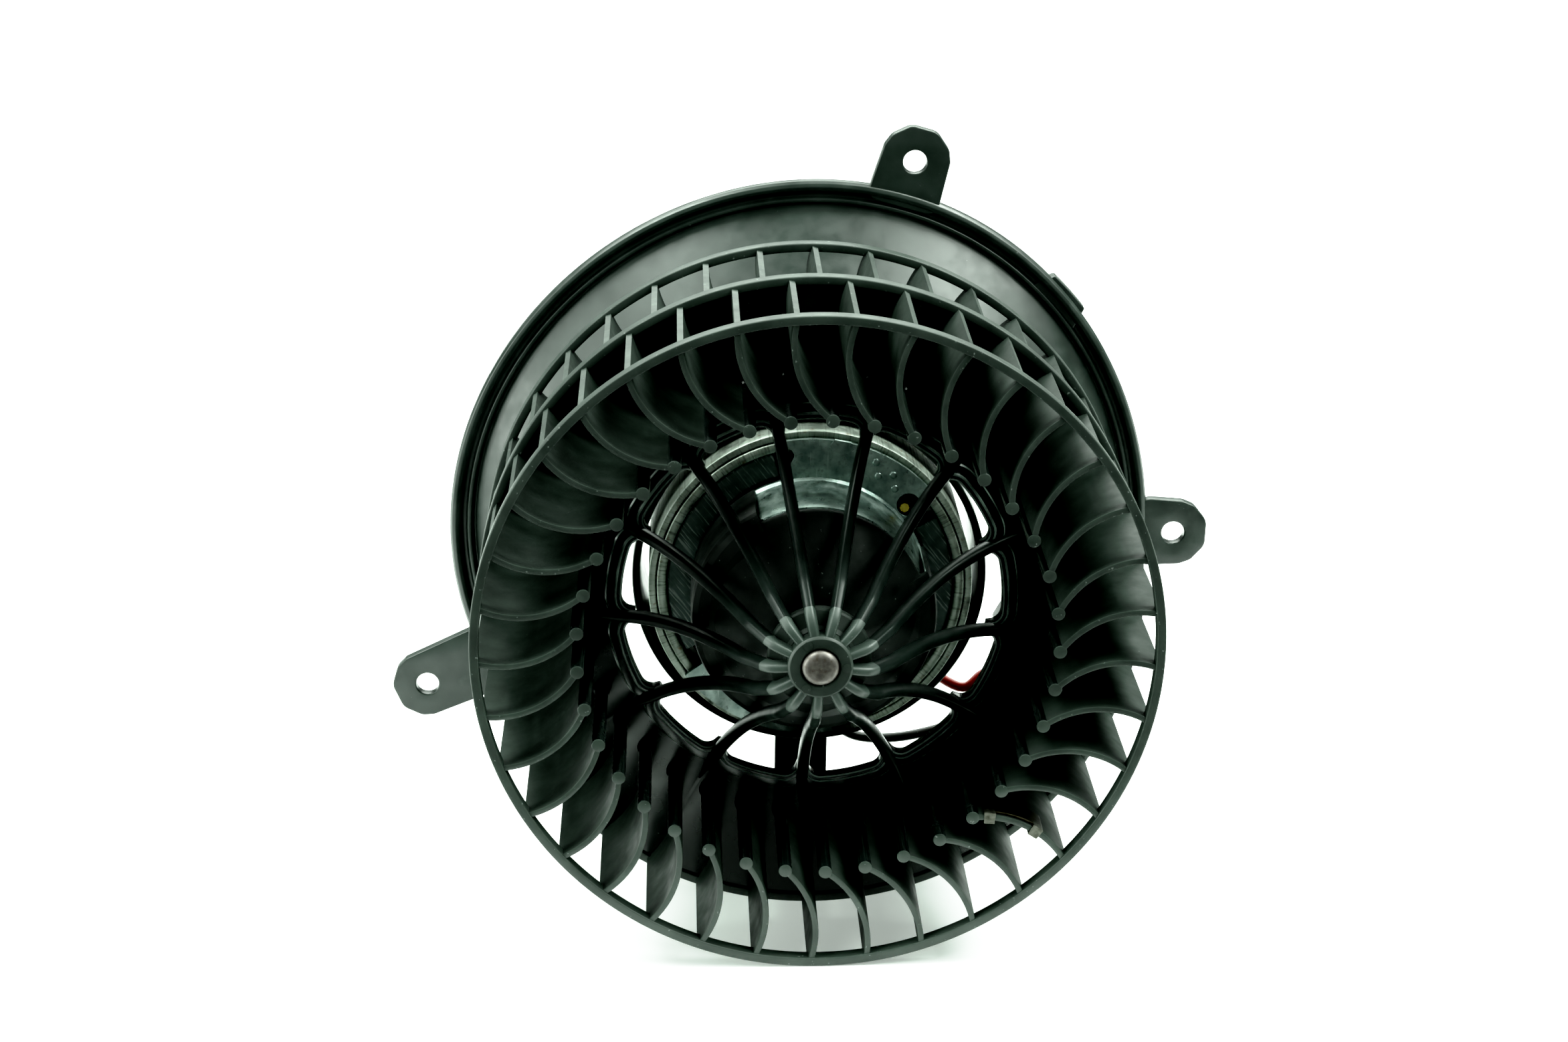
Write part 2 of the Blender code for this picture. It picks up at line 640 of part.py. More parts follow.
def make_front_bracket():
    """Zinc-plated pressing: a drum over the brush gear on two lobes that sit against the yoke."""
    back = PLATE_FRONT + PLATE_THICKNESS
    nose = BEARING_RADIUS + GAP
    profile = [
        (DRUM_ROOT_RADIUS - DRUM_WALL, back),
        (DRUM_RADIUS - DRUM_WALL, DRUM_FRONT + DRUM_WALL),
        (nose, DRUM_FRONT + DRUM_WALL),
        (nose, DRUM_FRONT - NOSE_REACH + NOSE_WALL),
        (5.4, DRUM_FRONT - NOSE_REACH + NOSE_WALL),
        (5.4, DRUM_FRONT - NOSE_REACH),
        (nose + NOSE_WALL, DRUM_FRONT - NOSE_REACH),
        (nose + NOSE_WALL, DRUM_FRONT),
        (DRUM_RADIUS - 0.8, DRUM_FRONT),
        (DRUM_RADIUS, DRUM_FRONT + 0.8),
        (DRUM_ROOT_RADIUS, back),
    ]
    bracket = lathe("front_bracket", "zinc_plate", profile, steps=40)
    lobe = tube_profile(DRUM_ROOT_RADIUS - 0.9, PLATE_RADIUS, PLATE_FRONT, back)
    bm = bmesh.new()
    for side in (0.0, 180.0):
        start = MOTOR_TILT + side - PLATE_SPAN / 2.0
        add_lathe(bm, lobe, start=start, sweep=PLATE_SPAN, steps=10)
    boolean(bracket, new_object("bracket_lobes", bm, None), "UNION")
    hole = arc_points(turned([(29.6, 0.0)], TERMINAL_ANGLE)[0], 2.7, 0.0, 330.0, 11)
    notch = turned(rectangle(33.4, 40.0, 1.9), 79.0)
    bm = bmesh.new()
    add_prism(bm, hole, PLATE_FRONT - 2.0, back + 2.0)
    add_prism(bm, notch, PLATE_FRONT - 2.0, back + 2.0)
    boolean(bracket, new_object("bracket_cuts", bm, None), "DIFFERENCE")
    terminal = arc_points(turned([(28.4, 0.0)], TERMINAL_ANGLE)[0], 1.1, 0.0, 315.0, 7)
    prism("brass_terminal", "brass", terminal, PLATE_FRONT + 0.4, CORE_FRONT - 2.0)


def make_brush_cap():
    """Dull moulded cap over the drum and its bearing nose; its skirt leaves the drum's top bare."""
    rest = DRUM_FRONT - GAP
    nose = BEARING_RADIUS + NOSE_WALL + 2.0 * GAP
    inside = DRUM_FRONT - NOSE_REACH - GAP
    front = inside - CAP_WALL
    profile = [
        (CAP_HOLE_RADIUS, inside),
        (nose, inside),
        (nose, rest),
        (DRUM_RADIUS, rest),
        (DRUM_RADIUS, rest - 1.4),
        (DRUM_RADIUS - 1.8, rest - 2.8),
        (17.0, front + 3.1),
        (nose + 1.7, front + 0.3),
        (CAP_HOLE_RADIUS, front),
    ]
    cap = lathe("brush_cap", "cap_black", profile, steps=40)
    inner = DRUM_ROOT_RADIUS + GAP + 0.1
    outer = inner + 0.8
    skirt = [
        (22.0, rest),
        (22.0, rest - 2.6),
        (outer - 1.2, rest - 1.4),
        (outer, rest),
        (outer, PLATE_FRONT - 0.5),
        (inner, PLATE_FRONT - 0.5),
        (inner, rest),
    ]
    boolean(cap, lathe("cap_skirt", None, skirt, start=SKIRT_START, sweep=SKIRT_SWEEP, steps=30), "UNION")


def make_bearings():
    outer = BEARING_RADIUS
    front = DRUM_FRONT - 6.6
    rear = YOKE_BACK - 1.2
    for name, start in (("front_bearing", front), ("rear_bearing", rear)):
        profile = tube_profile(BEARING_BORE, outer, start, start + BEARING_LENGTH - 0.6)
        lathe(name, "bronze", profile, steps=ROUND_STEPS)


def make_brush_gear():
    card = tube_profile(11.5, DRUM_RADIUS - DRUM_WALL - 0.4, CARD_FRONT, CARD_FRONT + CARD_THICKNESS)
    lathe("brush_card", "card", card, steps=30)
    half_width = BRUSH_WIDTH / 2.0
    half_depth = BRUSH_DEPTH / 2.0
    for letter, side in (("a", 1.0), ("b", -1.0)):
        centre = (0.0, BRUSH_Y, side * BRUSH_CENTRE)
        bm = bmesh.new()
        outline = rectangle(BRUSH_CENTRE - BRUSH_LENGTH / 2.0, BRUSH_CENTRE + BRUSH_LENGTH / 2.0, half_width)
        add_prism(bm, turned(outline, side * 90.0), BRUSH_Y - half_depth, BRUSH_Y + half_depth)
        new_object("carbon_brush_" + letter, bm, "carbon", centre)
        make_brush_holder(letter, side, half_width, half_depth)
        make_brush_spring(letter, side)


def make_brush_holder(letter, side, half_width, half_depth):
    """A square brass sleeve, open towards the commutator and closed behind the spring."""
    angle = side * 90.0
    inner_x = half_width + GAP
    inner_y = half_depth + GAP
    outer_x = inner_x + HOLDER_WALL
    outer_y = inner_y + HOLDER_WALL
    sleeve = rectangle(COMMUTATOR_RADIUS + 1.6, HOLDER_END, outer_x)
    channel = rectangle(COMMUTATOR_RADIUS / 2.0, HOLDER_END - HOLDER_WALL, inner_x)
    name = "brush_holder_" + letter
    holder = prism(name, "brass", turned(sleeve, angle), BRUSH_Y - outer_y, BRUSH_Y + outer_y)
    name = "brush_channel_" + letter
    cutter = prism(name, None, turned(channel, angle), BRUSH_Y - inner_y, BRUSH_Y + inner_y)
    boolean(holder, cutter, "DIFFERENCE")


def add_tube_curve(name, points, radius, material, resolution):
    curve = bpy.data.curves.new(name, "CURVE")
    curve.dimensions = "3D"
    curve.bevel_depth = radius * MM
    curve.bevel_resolution = resolution
    curve.use_fill_caps = True
    curve.render_resolution_u = 0
    spline = curve.splines.new("POLY")
    spline.points.add(len(points) - 1)
    for target, point in zip(spline.points, points):
        target.co = (*(Vector(point) * MM), 1.0)
    curve.materials.append(MATERIAL[material])
    obj = bpy.data.objects.new(name, curve)
    bpy.context.scene.collection.objects.link(obj)
    return obj


def make_brush_spring(letter, side):
    turns = 4
    steps = 9
    wire = 0.25
    coil = 1.7
    start = BRUSH_CENTRE + BRUSH_LENGTH / 2.0 + GAP + wire
    end = HOLDER_END - HOLDER_WALL - GAP - wire
    points = []
    for step in range(turns * steps + 1):
        turn = 2.0 * math.pi * step / steps
        z = start + (end - start) * step / (turns * steps)
        points.append((coil * math.cos(turn), BRUSH_Y + coil * math.sin(turn), side * z))
    add_tube_curve("brush_spring_" + letter, points, wire, "spring_steel", 0)


def make_chokes():
    """Suppression coils on the brush card, one to each brush."""
    for letter, side in (("a", 1.0), ("b", -1.0)):
        bm = bmesh.new()
        outline = arc_points((side * CHOKE_OFFSET, 0.0), CHOKE_RADIUS, 0.0, 324.0, 9)
        add_prism(bm, outline, -CHOKE_LENGTH / 2.0, CHOKE_LENGTH / 2.0)
        for vert in bm.verts:
            vert.co.y, vert.co.z = CARD_FRONT - CHOKE_RADIUS - 0.8 + vert.co.z, vert.co.y
        new_object("choke_" + letter, bm, "copper")


def make_rubber_mounts():
    profile = tube_profile(FLUX_RING_RADIUS + GAP, HOLDER_BORE - GAP, -31.0, -10.0)
    for letter, angle in zip("abc", MOUNT_ANGLES):
        lathe("rubber_mount_" + letter, "rubber", profile, start=angle - 9.0, sweep=18.0, steps=4)


def smooth_route(points, per_span):
    """Catmull-Rom curve through the points."""
    ends = [points[0] * 2.0 - points[1]] + points + [points[-1] * 2.0 - points[-2]]
    route = []
    for a, b, c, d in zip(ends, ends[1:], ends[2:], ends[3:]):
        for step in range(per_span):
            t = step / per_span
            bend = (2.0 * a - 5.0 * b + 4.0 * c - d) * t**2
            twist = (3.0 * b - a - 3.0 * c + d) * t**3
            route.append(0.5 * (2.0 * b + (c - a) * t + bend + twist))
    route.append(points[-1])
    return route


def lead_routes():
    """Held leads, from the can's closed end round behind the flange to the connector."""
    red = [
        radial(20.0, 300.0, YOKE_BACK + GAP + LEAD_RADIUS + 0.5),
        radial(32.0, 303.0, YOKE_BACK + 2.5),
        radial(44.0, 307.0, YOKE_BACK + 0.5),
        radial(55.0, 313.4, -5.5),
        radial(57.5, 319.6, -4.0),
        radial(62.5, 326.0, 0.5),
        radial(CONNECTOR_RADIUS - 3.5, CONNECTOR_ANGLE, CONNECTOR_FRONT - 5.0),
        radial(CONNECTOR_RADIUS - 3.5, CONNECTOR_ANGLE, CONNECTOR_FRONT - GAP),
    ]
    black = [
        radial(20.0, 285.0, YOKE_BACK + GAP + LEAD_RADIUS + 0.5),
        radial(32.0, 279.0, YOKE_BACK + 3.0),
        radial(46.0, 276.5, YOKE_BACK + 3.0),
        radial(56.0, 281.0, 3.0),
        radial(61.5, 292.0, 3.5),
        radial(66.0, 306.0, 4.0),
        radial(70.5, 319.0, 4.0),
        radial(CONNECTOR_RADIUS + 3.5, CONNECTOR_ANGLE - 1.5, CONNECTOR_FRONT - 4.5),
        radial(CONNECTOR_RADIUS + 3.5, CONNECTOR_ANGLE, CONNECTOR_FRONT - GAP),
    ]
    return red, black


def make_leads():
    for name, points in zip(("lead_red", "lead_black"), lead_routes()):
        add_tube_curve("motor_" + name, smooth_route(points, 4), LEAD_RADIUS, name, 2)


def make_connector():
    """Two-way plug housing on the flange's back, with its mouth facing away from the wheel."""
    back = CONNECTOR_FRONT + CONNECTOR_DEPTH
    outer = rectangle(CONNECTOR_RADIUS - 8.0, CONNECTOR_RADIUS + 8.0, 6.0)
    inner = rectangle(CONNECTOR_RADIUS - 6.6, CONNECTOR_RADIUS + 6.6, 4.6)
    housing = prism("connector_housing", "connector", turned(outer, CONNECTOR_ANGLE), CONNECTOR_FRONT, back)
    mouth = prism("connector_mouth", None, turned(inner, CONNECTOR_ANGLE), CONNECTOR_FRONT + 5.0, back + 3.0)
    boolean(housing, mouth, "DIFFERENCE")
    for letter, offset in (("a", -3.5), ("b", 3.5)):
        at = CONNECTOR_RADIUS + offset
        pin = turned(rectangle(at - 1.4, at + 1.4, 0.4), CONNECTOR_ANGLE)
        prism("connector_pin_" + letter, "brass", pin, CONNECTOR_FRONT + 5.0 + GAP, back - 4.0)


clear_scene()
MATERIAL = {name: make_material(name) for name in MATERIALS}
rotor_axis = bpy.data.objects.new("rotor_axis", None)
bpy.context.scene.collection.objects.link(rotor_axis)

make_wheel(rotor_axis)
make_blade_rows(rotor_axis)
make_shaft(rotor_axis)
make_armature(rotor_axis)
make_commutator(rotor_axis)
make_washers(rotor_axis)
make_balance_clip(rotor_axis)
make_flange()
make_yoke()
make_magnets()
make_front_bracket()
make_brush_cap()
make_bearings()
make_brush_gear()
make_chokes()
make_rubber_mounts()
make_leads()
make_connector()
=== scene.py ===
"""Looks of the heater blower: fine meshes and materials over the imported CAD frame.

Frame: the shaft axis lies along Y, +Z is up, and the wheel's inlet faces -Y. Angles are counter-clockwise
from +X, seen from the inlet. Lengths are in millimetres and angles in degrees until a mesh is made.
"""

import math

import bmesh
import bpy
from mathutils import Matrix, Vector


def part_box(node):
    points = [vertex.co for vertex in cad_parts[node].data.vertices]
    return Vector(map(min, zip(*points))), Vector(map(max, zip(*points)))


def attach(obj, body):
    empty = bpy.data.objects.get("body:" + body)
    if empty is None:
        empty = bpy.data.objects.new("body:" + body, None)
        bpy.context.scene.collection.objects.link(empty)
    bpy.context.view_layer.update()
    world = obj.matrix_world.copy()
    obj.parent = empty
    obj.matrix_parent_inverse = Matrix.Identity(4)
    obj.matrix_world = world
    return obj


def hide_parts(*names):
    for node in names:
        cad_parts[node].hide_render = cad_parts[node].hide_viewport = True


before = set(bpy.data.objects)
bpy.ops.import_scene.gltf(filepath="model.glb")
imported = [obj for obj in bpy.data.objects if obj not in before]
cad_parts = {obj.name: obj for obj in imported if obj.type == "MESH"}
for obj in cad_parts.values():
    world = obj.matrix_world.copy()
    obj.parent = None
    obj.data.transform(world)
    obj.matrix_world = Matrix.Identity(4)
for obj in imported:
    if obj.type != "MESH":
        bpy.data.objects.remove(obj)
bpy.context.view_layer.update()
MM = 0.001


def box(node):
    """The lowest and highest corner of a CAD node, in millimetres."""
    low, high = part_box(node)
    return low / MM, high / MM


# Driving sizes from the frame
front_row_low, front_row_high = box("fan_wheel_front_blades")
_, rear_row_high = box("fan_wheel_rear_blades")
hub_low, _ = box("fan_wheel_hub")
shaft_low, shaft_high = box("motor_shaft")
yoke_low, yoke_high = box("motor_yoke")
flux_low, flux_high = box("flux_ring")
bracket_low, bracket_high = box("front_bracket")
cap_low, _ = box("brush_cap")
flange_low, _ = box("motor_flange")
socket_low, socket_high = box("connector_housing")

# Wheel
WHEEL_RADIUS = front_row_high.x
WHEEL_FRONT = front_row_low.y
WHEEL_BACK = rear_row_high.y
RIM_WIDTH = 2.0
RIM_DEPTH = 3.4
RIM_INNER = WHEEL_RADIUS - RIM_WIDTH
WEB_FRONT = WHEEL_FRONT + 33.0
WEB_THICKNESS = 1.8
WEB_MIDDLE = WEB_FRONT + WEB_THICKNESS / 2.0
WINDOW_RADIUS = 42.8
WINDOW_CORNER = 3.0
RIM_STEPS = 222

# Places of the finishes in the wheel's material list
MATT_FACE, POLISHED, BLADE_SIDE_SHADED, HUB_RIB_PAINTED_LIGHT, SPOKE_BAR, COLLAR_PAINTED_HIGHLIGHT = range(6)

# Blades
BLADE_COUNT = 37
BLADE_PITCH = 360.0 / BLADE_COUNT
BLADE_FIRST = -88.2
BLADE_INNER_RADIUS = 52.1
BLADE_OUTER_RADIUS = 74.2
BLADE_LEAN = 6.6
BLADE_ARC_RADIUS = 21.0
BLADE_THICKNESS = 1.3
BLADE_RECESS = 0.35
BLADE_STEPS = 16
REAR_BLADE_START = 0.29
PIN_RADIUS = 1.5
PIN_BOSS_RADIUS = 1.95

# Spokes and hub
SPOKE_COUNT = 13
SPOKE_PITCH = 360.0 / SPOKE_COUNT
SPOKE_FIRST = 267.0
SPOKE_BOWL = 0.029
SPOKE_END_RADIUS = 49.0
SPOKE_WIDTH = 2.7
SPOKE_ROOT_RADIUS = 5.6
SPOKE_ROOT_WIDTH = 2.2
SPOKE_SHOULDER_RADIUS = 16.0
SPOKE_TIP_RADIUS = 51.5
SPOKE_DEPTH = 3.0
RIB_END_RADIUS = 11.6
HUB_RADIUS = 7.0
HUB_SKIRT_RADIUS = 11.2
HUB_FRONT = hub_low.y
HUB_BORE = 4.15
EJECTOR_ANGLES = (118.0, 238.0, 358.0)
EJECTOR_RADIUS = 5.6

# Motor
MOTOR_TILT = 67.0
YOKE_RADIUS = yoke_high.x
YOKE_WALL = 2.1
YOKE_FRONT = yoke_low.y
FLUX_RADIUS = flux_high.x
MAGNET_OUTER = 32.5
MAGNET_INNER = 26.8
MAGNET_SPAN = 104.0
DRUM_RADIUS = 25.0
DRUM_ROOT_RADIUS = 26.2
NOSE_RADIUS = 7.9
NOSE_REACH = 8.1
NOSE_WALL = 1.1
SKIRT_RADIUS = -cap_low.x
SKIRT_WALL = 0.8
SKIRT_START = 118.0
SKIRT_SWEEP = 264.0
PLATE_RADIUS = 35.6
PLATE_THICKNESS = 1.2
PLATE_BACK = bracket_high.y
PLATE_FRONT = PLATE_BACK - PLATE_THICKNESS
DRUM_FRONT = bracket_low.y + NOSE_REACH

# Flange
LIP_RADIUS = 83.9
LIP_SWELL = 1.0
LIP_SWELL_ANGLE = 70.0
CONE_INNER_RADIUS = 60.0
CONE_FRONT = -14.5
HOLDER_RADIUS = 40.7
HOLDER_BORE = 38.9
HOLDER_FRONT = flange_low.y
HOLDER_BACK = -3.0
LEG_ANGLES = (29.0, 149.0, 269.0)
LEG_WIDTH = 12.6
LEG_FRONT = -11.0
LEG_BACK = -4.5
LEG_RIB_WIDTH = 1.6
LUG_START = 37.0
LUG_SPAN = 10.5
LUG_HEIGHT = 1.2
EAR_FRONT = 0.6
EAR_BACK = 3.4
EAR_HALF_WIDTH = 8.0
EAR_HOLE_RADIUS = 2.75
EARS = ((73.8, 92.4), (-1.9, 89.7), (203.5, 100.0))
MOUNT_ANGLES = (90.0, 210.0, 330.0)

# Connector and leads
CONNECTOR_ANGLE = 330.0
CONNECTOR_RADIUS = 68.0
CONTACT_OFFSET = 3.5
LEAD_RADIUS = 1.2
LEAD_GAP = 0.3
CAN_BACK = 3.0


# Geometry helpers


def radial(radius, angle, y):
    """A point at this radius and angle about the shaft axis."""
    turn = math.radians(angle)
    return Vector((radius * math.cos(turn), y, radius * math.sin(turn)))


def turned(outline, angle):
    """An outline drawn about the +X direction, turned to this angle."""
    turn = math.radians(angle)
    cos, sin = math.cos(turn), math.sin(turn)
    return [(x * cos - z * sin, x * sin + z * cos) for x, z in outline]


def spot(radius, angle):
    """The (x, z) point at this radius and angle."""
    return turned([(radius, 0.0)], angle)[0]


def arc_points(centre, radius, start, end, steps):
    points = []
    for step in range(steps + 1):
        turn = math.radians(start + (end - start) * step / steps)
        points.append((centre[0] + radius * math.cos(turn), centre[1] + radius * math.sin(turn)))
    return points


def rounded(outline, radius, steps=3):
    """The closed outline with each corner rounded to this radius, or less where a side is short."""
    result = []
    for index, point in enumerate(outline):
        corner = Vector(point)
        before = Vector(outline[index - 1]) - corner
        after = Vector(outline[(index + 1) % len(outline)]) - corner
        reach = radius / math.tan(before.angle(after) / 2.0)
        start = corner + before.normalized() * min(reach, 0.45 * before.length)
        end = corner + after.normalized() * min(reach, 0.45 * after.length)
        for step in range(steps + 1):
            t = step / steps
            result.append(tuple(start * (1 - t) ** 2 + corner * 2 * t * (1 - t) + end * t**2))
    return result


def tube_profile(inner, outer, front, back):
    return [(inner, front), (inner, back), (outer, back), (outer, front)]


def rectangle(low_x, high_x, half_width):
    return [(low_x, -half_width), (high_x, -half_width), (high_x, half_width), (low_x, half_width)]


def loft(bm, rings, loop=False, finish=0):
    """Joins rings of points into a skin, with an end face on each end unless it loops.

    Returns one list of faces for each pair of rings.
    """
    made = [[bm.verts.new(point) for point in ring] for ring in rings]
    pairs = list(zip(made, made[1:]))
    if loop:
        pairs.append((made[-1], made[0]))
    skin = []
    for first, second in pairs:
        band = []
        for corner in range(len(first)):
            after = (corner + 1) % len(first)
            face = bm.faces.new((first[corner], first[after], second[after], second[corner]))
            face.material_index = finish
            band.append(face)
        skin.append(band)
    if not loop:
        for face in (bm.faces.new(made[0]), bm.faces.new(reversed(made[-1]))):
            face.material_index = finish
    return skin


def add_lathe(bm, profile, start=0.0, sweep=360.0, steps=96, finish=0):
    """Turns a closed (radius, y) outline about the shaft axis."""
    closed = sweep >= 360.0
    count = steps if closed else steps + 1
    rings = []
    for step in range(count):
        angle = start + sweep * step / steps
        rings.append([radial(max(r, 0.001), angle, y) for r, y in profile])
    loft(bm, rings, loop=closed, finish=finish)


def add_slab(bm, outline, front, back, holes=(), finish=0):
    """A flat plate along Y with this (x, z) outline and holes through it."""
    edges = []
    for loop in (outline, *holes):
        ring = [bm.verts.new((x, front, z)) for x, z in loop]
        edges += [bm.edges.new((ring[i - 1], ring[i])) for i in range(len(ring))]
    filled = bmesh.ops.triangle_fill(bm, edges=edges, use_beauty=True)
    base = [item for item in filled["geom"] if isinstance(item, bmesh.types.BMFace)]
    grown = bmesh.ops.extrude_face_region(bm, geom=base, use_keep_orig=True)
    moved = [item for item in grown["geom"] if isinstance(item, bmesh.types.BMVert)]
    bmesh.ops.translate(bm, verts=moved, vec=(0.0, back - front, 0.0))
    for face in base + [item for item in grown["geom"] if isinstance(item, bmesh.types.BMFace)]:
        face.material_index = finish


def piece(name, bm, finishes, body, nodes=(), sharp=40.0, bevel=0.0):
    """Makes a shown piece that stands for these CAD nodes and rides on their body."""
    bmesh.ops.remove_doubles(bm, verts=bm.verts, dist=1e-4)
    bmesh.ops.recalc_face_normals(bm, faces=bm.faces)
    bm.transform(Matrix.Scale(MM, 4))
    mesh = bpy.data.meshes.new(name)
    bm.to_mesh(mesh)
    bm.free()
    mesh.shade_smooth()
    if not bevel:
        mesh.set_sharp_from_angle(angle=math.radians(sharp))
    obj = bpy.data.objects.new(name, mesh)
    bpy.context.scene.collection.objects.link(obj)
    for finish in finishes:
        mesh.materials.append(finish)
    if bevel:
        edge = obj.modifiers.new("soft_edges", "BEVEL")
        edge.width = bevel * MM
        edge.segments = 3
        edge.limit_method = "ANGLE"
        edge.angle_limit = math.radians(sharp)
        edge.harden_normals = True
        obj.data.set_sharp_from_angle(angle=math.radians(89.0))
    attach(obj, body)
    if nodes:
        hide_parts(*nodes)
    return obj


# Materials


class Finish:
    """A procedural material, built up layer by layer in object coordinates (metres)."""

    def __init__(self, name, roughness, metallic=0.0, specular=0.5):
        self.material = bpy.data.materials.new(name)
        self.material.use_nodes = True
        self.tree = self.material.node_tree
        self.shader = self.tree.nodes["Principled BSDF"]
        self.shader.inputs["Metallic"].default_value = metallic
        self.shader.inputs["Specular IOR Level"].default_value = specular
        self.shader.inputs["Roughness"].default_value = roughness
        self.place = self.add("ShaderNodeTexCoord").outputs["Object"]
        self.height = None
        self.colour = None

    def add(self, kind, **settings):
        node = self.tree.nodes.new(kind)
        for key, value in settings.items():
            setattr(node, key, value)
        return node

    def link(self, source, target):
        self.tree.links.new(source, target)

    def math(self, operation, first, second=None):
        node = self.add("ShaderNodeMath", operation=operation)
        for socket, value in zip(node.inputs, (first, second)):
            if value is None:
                continue
            if isinstance(value, (int, float)):
                socket.default_value = value
            else:
                self.link(value, socket)
        return node.outputs[0]

    def raw_noise(self, place, detail):
        node = self.add("ShaderNodeTexNoise")
        node.inputs["Scale"].default_value = 1.0
        node.inputs["Detail"].default_value = detail
        self.link(place, node.inputs["Vector"])
        return node.outputs["Fac"]

    def noise(self, size_mm, detail=3.0, stretch=(1.0, 1.0, 1.0), place=None):
        """Noise whose features are about this wide."""
        scale = self.add("ShaderNodeVectorMath", operation="MULTIPLY")
        self.link(place or self.place, scale.inputs[0])
        scale.inputs[1].default_value = [1.0 / (size_mm * MM) * part for part in stretch]
        return self.raw_noise(scale.outputs[0], detail)

    def ramp(self, value, low, high, low_out=0.0, high_out=1.0):
        node = self.add("ShaderNodeMapRange", clamp=True)
        self.link(value, node.inputs["Value"])
        for key, number in zip(("From Min", "From Max", "To Min", "To Max"), (low, high, low_out, high_out)):
            node.inputs[key].default_value = number
        return node.outputs[0]

    def paint(self, mask, colour):
        """Lays a colour over the ones before it, where the mask is 1."""
        node = self.add("ShaderNodeMix", data_type="RGBA")
        self.link(mask, node.inputs["Factor"])
        if self.colour:
            self.link(self.colour, node.inputs["A"])
        node.inputs["B"].default_value = (*colour, 1.0)
        self.colour = node.outputs["Result"]
        return node

    def base(self, dark, light, size_mm=6.0):
        node = self.paint(self.ramp(self.noise(size_mm, 5.0), 0.35, 0.65), light)
        node.inputs["A"].default_value = (*dark, 1.0)

    def carve(self, value, depth_mm):
        """Adds relief: the value times this depth."""
        layer = self.math("MULTIPLY", value, depth_mm * MM)
        self.height = self.math("ADD", self.height, layer) if self.height else layer

    def polish(self, value):
        self.link(value, self.shader.inputs["Roughness"])

    def polar(self):
        """Angle in turns about the shaft axis, and radius in metres."""
        split = self.add("ShaderNodeSeparateXYZ")
        self.link(self.place, split.inputs[0])
        angle = self.math("ARCTAN2", split.outputs["Z"], split.outputs["X"])
        squares = self.math(
            "ADD",
            self.math("POWER", split.outputs["X"], 2.0),
            self.math("POWER", split.outputs["Z"], 2.0),
        )
        return self.math("DIVIDE", angle, 2.0 * math.pi), self.math("SQRT", squares)

    def polar_place(self, marks, rings_per_mm):
        """Coordinates for noise that runs along radii: marks round the turn, rings outwards."""
        turn, radius = self.polar()
        join = self.add("ShaderNodeCombineXYZ")
        self.link(self.math("MULTIPLY", turn, marks), join.inputs["X"])
        self.link(self.math("MULTIPLY", radius, rings_per_mm / MM), join.inputs["Y"])
        return join.outputs[0]

    def paint_shade_arc(self, start, end, colour=(0.012, 0.014, 0.013)):
        """Painted shade: darkens the arc between these angles, in degrees from -180 to 180."""
        turn, _ = self.polar()
        fade = 3.0 / 360.0
        after = self.ramp(turn, start / 360.0 - fade, start / 360.0 + fade)
        before = self.ramp(turn, end / 360.0 - fade, end / 360.0 + fade, 0.93, 0.0)
        self.paint(self.math("MULTIPLY", after, before), colour)

    def done(self):
        self.link(self.colour, self.shader.inputs["Base Color"])
        if self.height:
            bump = self.add("ShaderNodeBump")
            bump.inputs["Strength"].default_value = 1.0
            bump.inputs["Distance"].default_value = 1.0
            self.link(self.height, bump.inputs["Height"])
            self.link(bump.outputs["Normal"], self.shader.inputs["Normal"])
        return self.material


def moulded(name, dark, light, rough_low, rough_high, grain_mm, dust=0.7, specular=0.5):
    """Moulded plastic: fine spark-eroded grain, soft mottling, scuffs and a little dust."""
    f = Finish(name, rough_high, specular=specular)
    f.base(dark, light, 9.0)
    scuff = f.noise(7.0, 4.0, stretch=(1.0, 0.15, 1.0))
    f.paint(f.ramp(scuff, 0.62, 0.78, 0.0, 0.35), [c * 1.8 + 0.01 for c in light])
    specks = f.noise(0.9, 2.0)
    f.paint(f.ramp(specks, dust, dust + 0.06, 0.0, 0.8), (0.16, 0.18, 0.17))
    f.carve(f.noise(0.35, 2.0), grain_mm)
    f.carve(f.noise(5.0, 2.0), grain_mm * 2.0)
    f.polish(f.ramp(f.noise(4.0, 4.0), 0.3, 0.7, rough_low, rough_high))
    return f.done()


def glossy_web():
    """The polished side of the wheel's mould: near black, with soft flow marks."""
    f = Finish("wheel_polished", 0.2, specular=0.55)
    f.base((0.006, 0.008, 0.0075), (0.012, 0.016, 0.015), 12.0)
    specks = f.noise(0.7, 2.0)
    f.paint(f.ramp(specks, 0.72, 0.78, 0.0, 0.6), (0.10, 0.11, 0.10))
    f.carve(f.noise(4.0, 2.0), 0.006)
    f.polish(f.ramp(f.noise(6.0, 4.0), 0.3, 0.7, 0.18, 0.30))
    return f.done()


def ground_steel():
    """The shaft's domed end: turning marks and a warm film."""
    f = Finish("shaft_ground", 0.45, metallic=0.7)
    f.base((0.11, 0.10, 0.095), (0.19, 0.175, 0.165), 1.6)
    rings = f.raw_noise(f.polar_place(1.5, 5.0), 3.0)
    f.carve(rings, 0.012)
    f.paint(f.ramp(f.noise(1.1, 3.0), 0.55, 0.72, 0.0, 0.6), (0.09, 0.07, 0.055))
    f.polish(f.ramp(rings, 0.3, 0.7, 0.36, 0.54))
    return f.done()


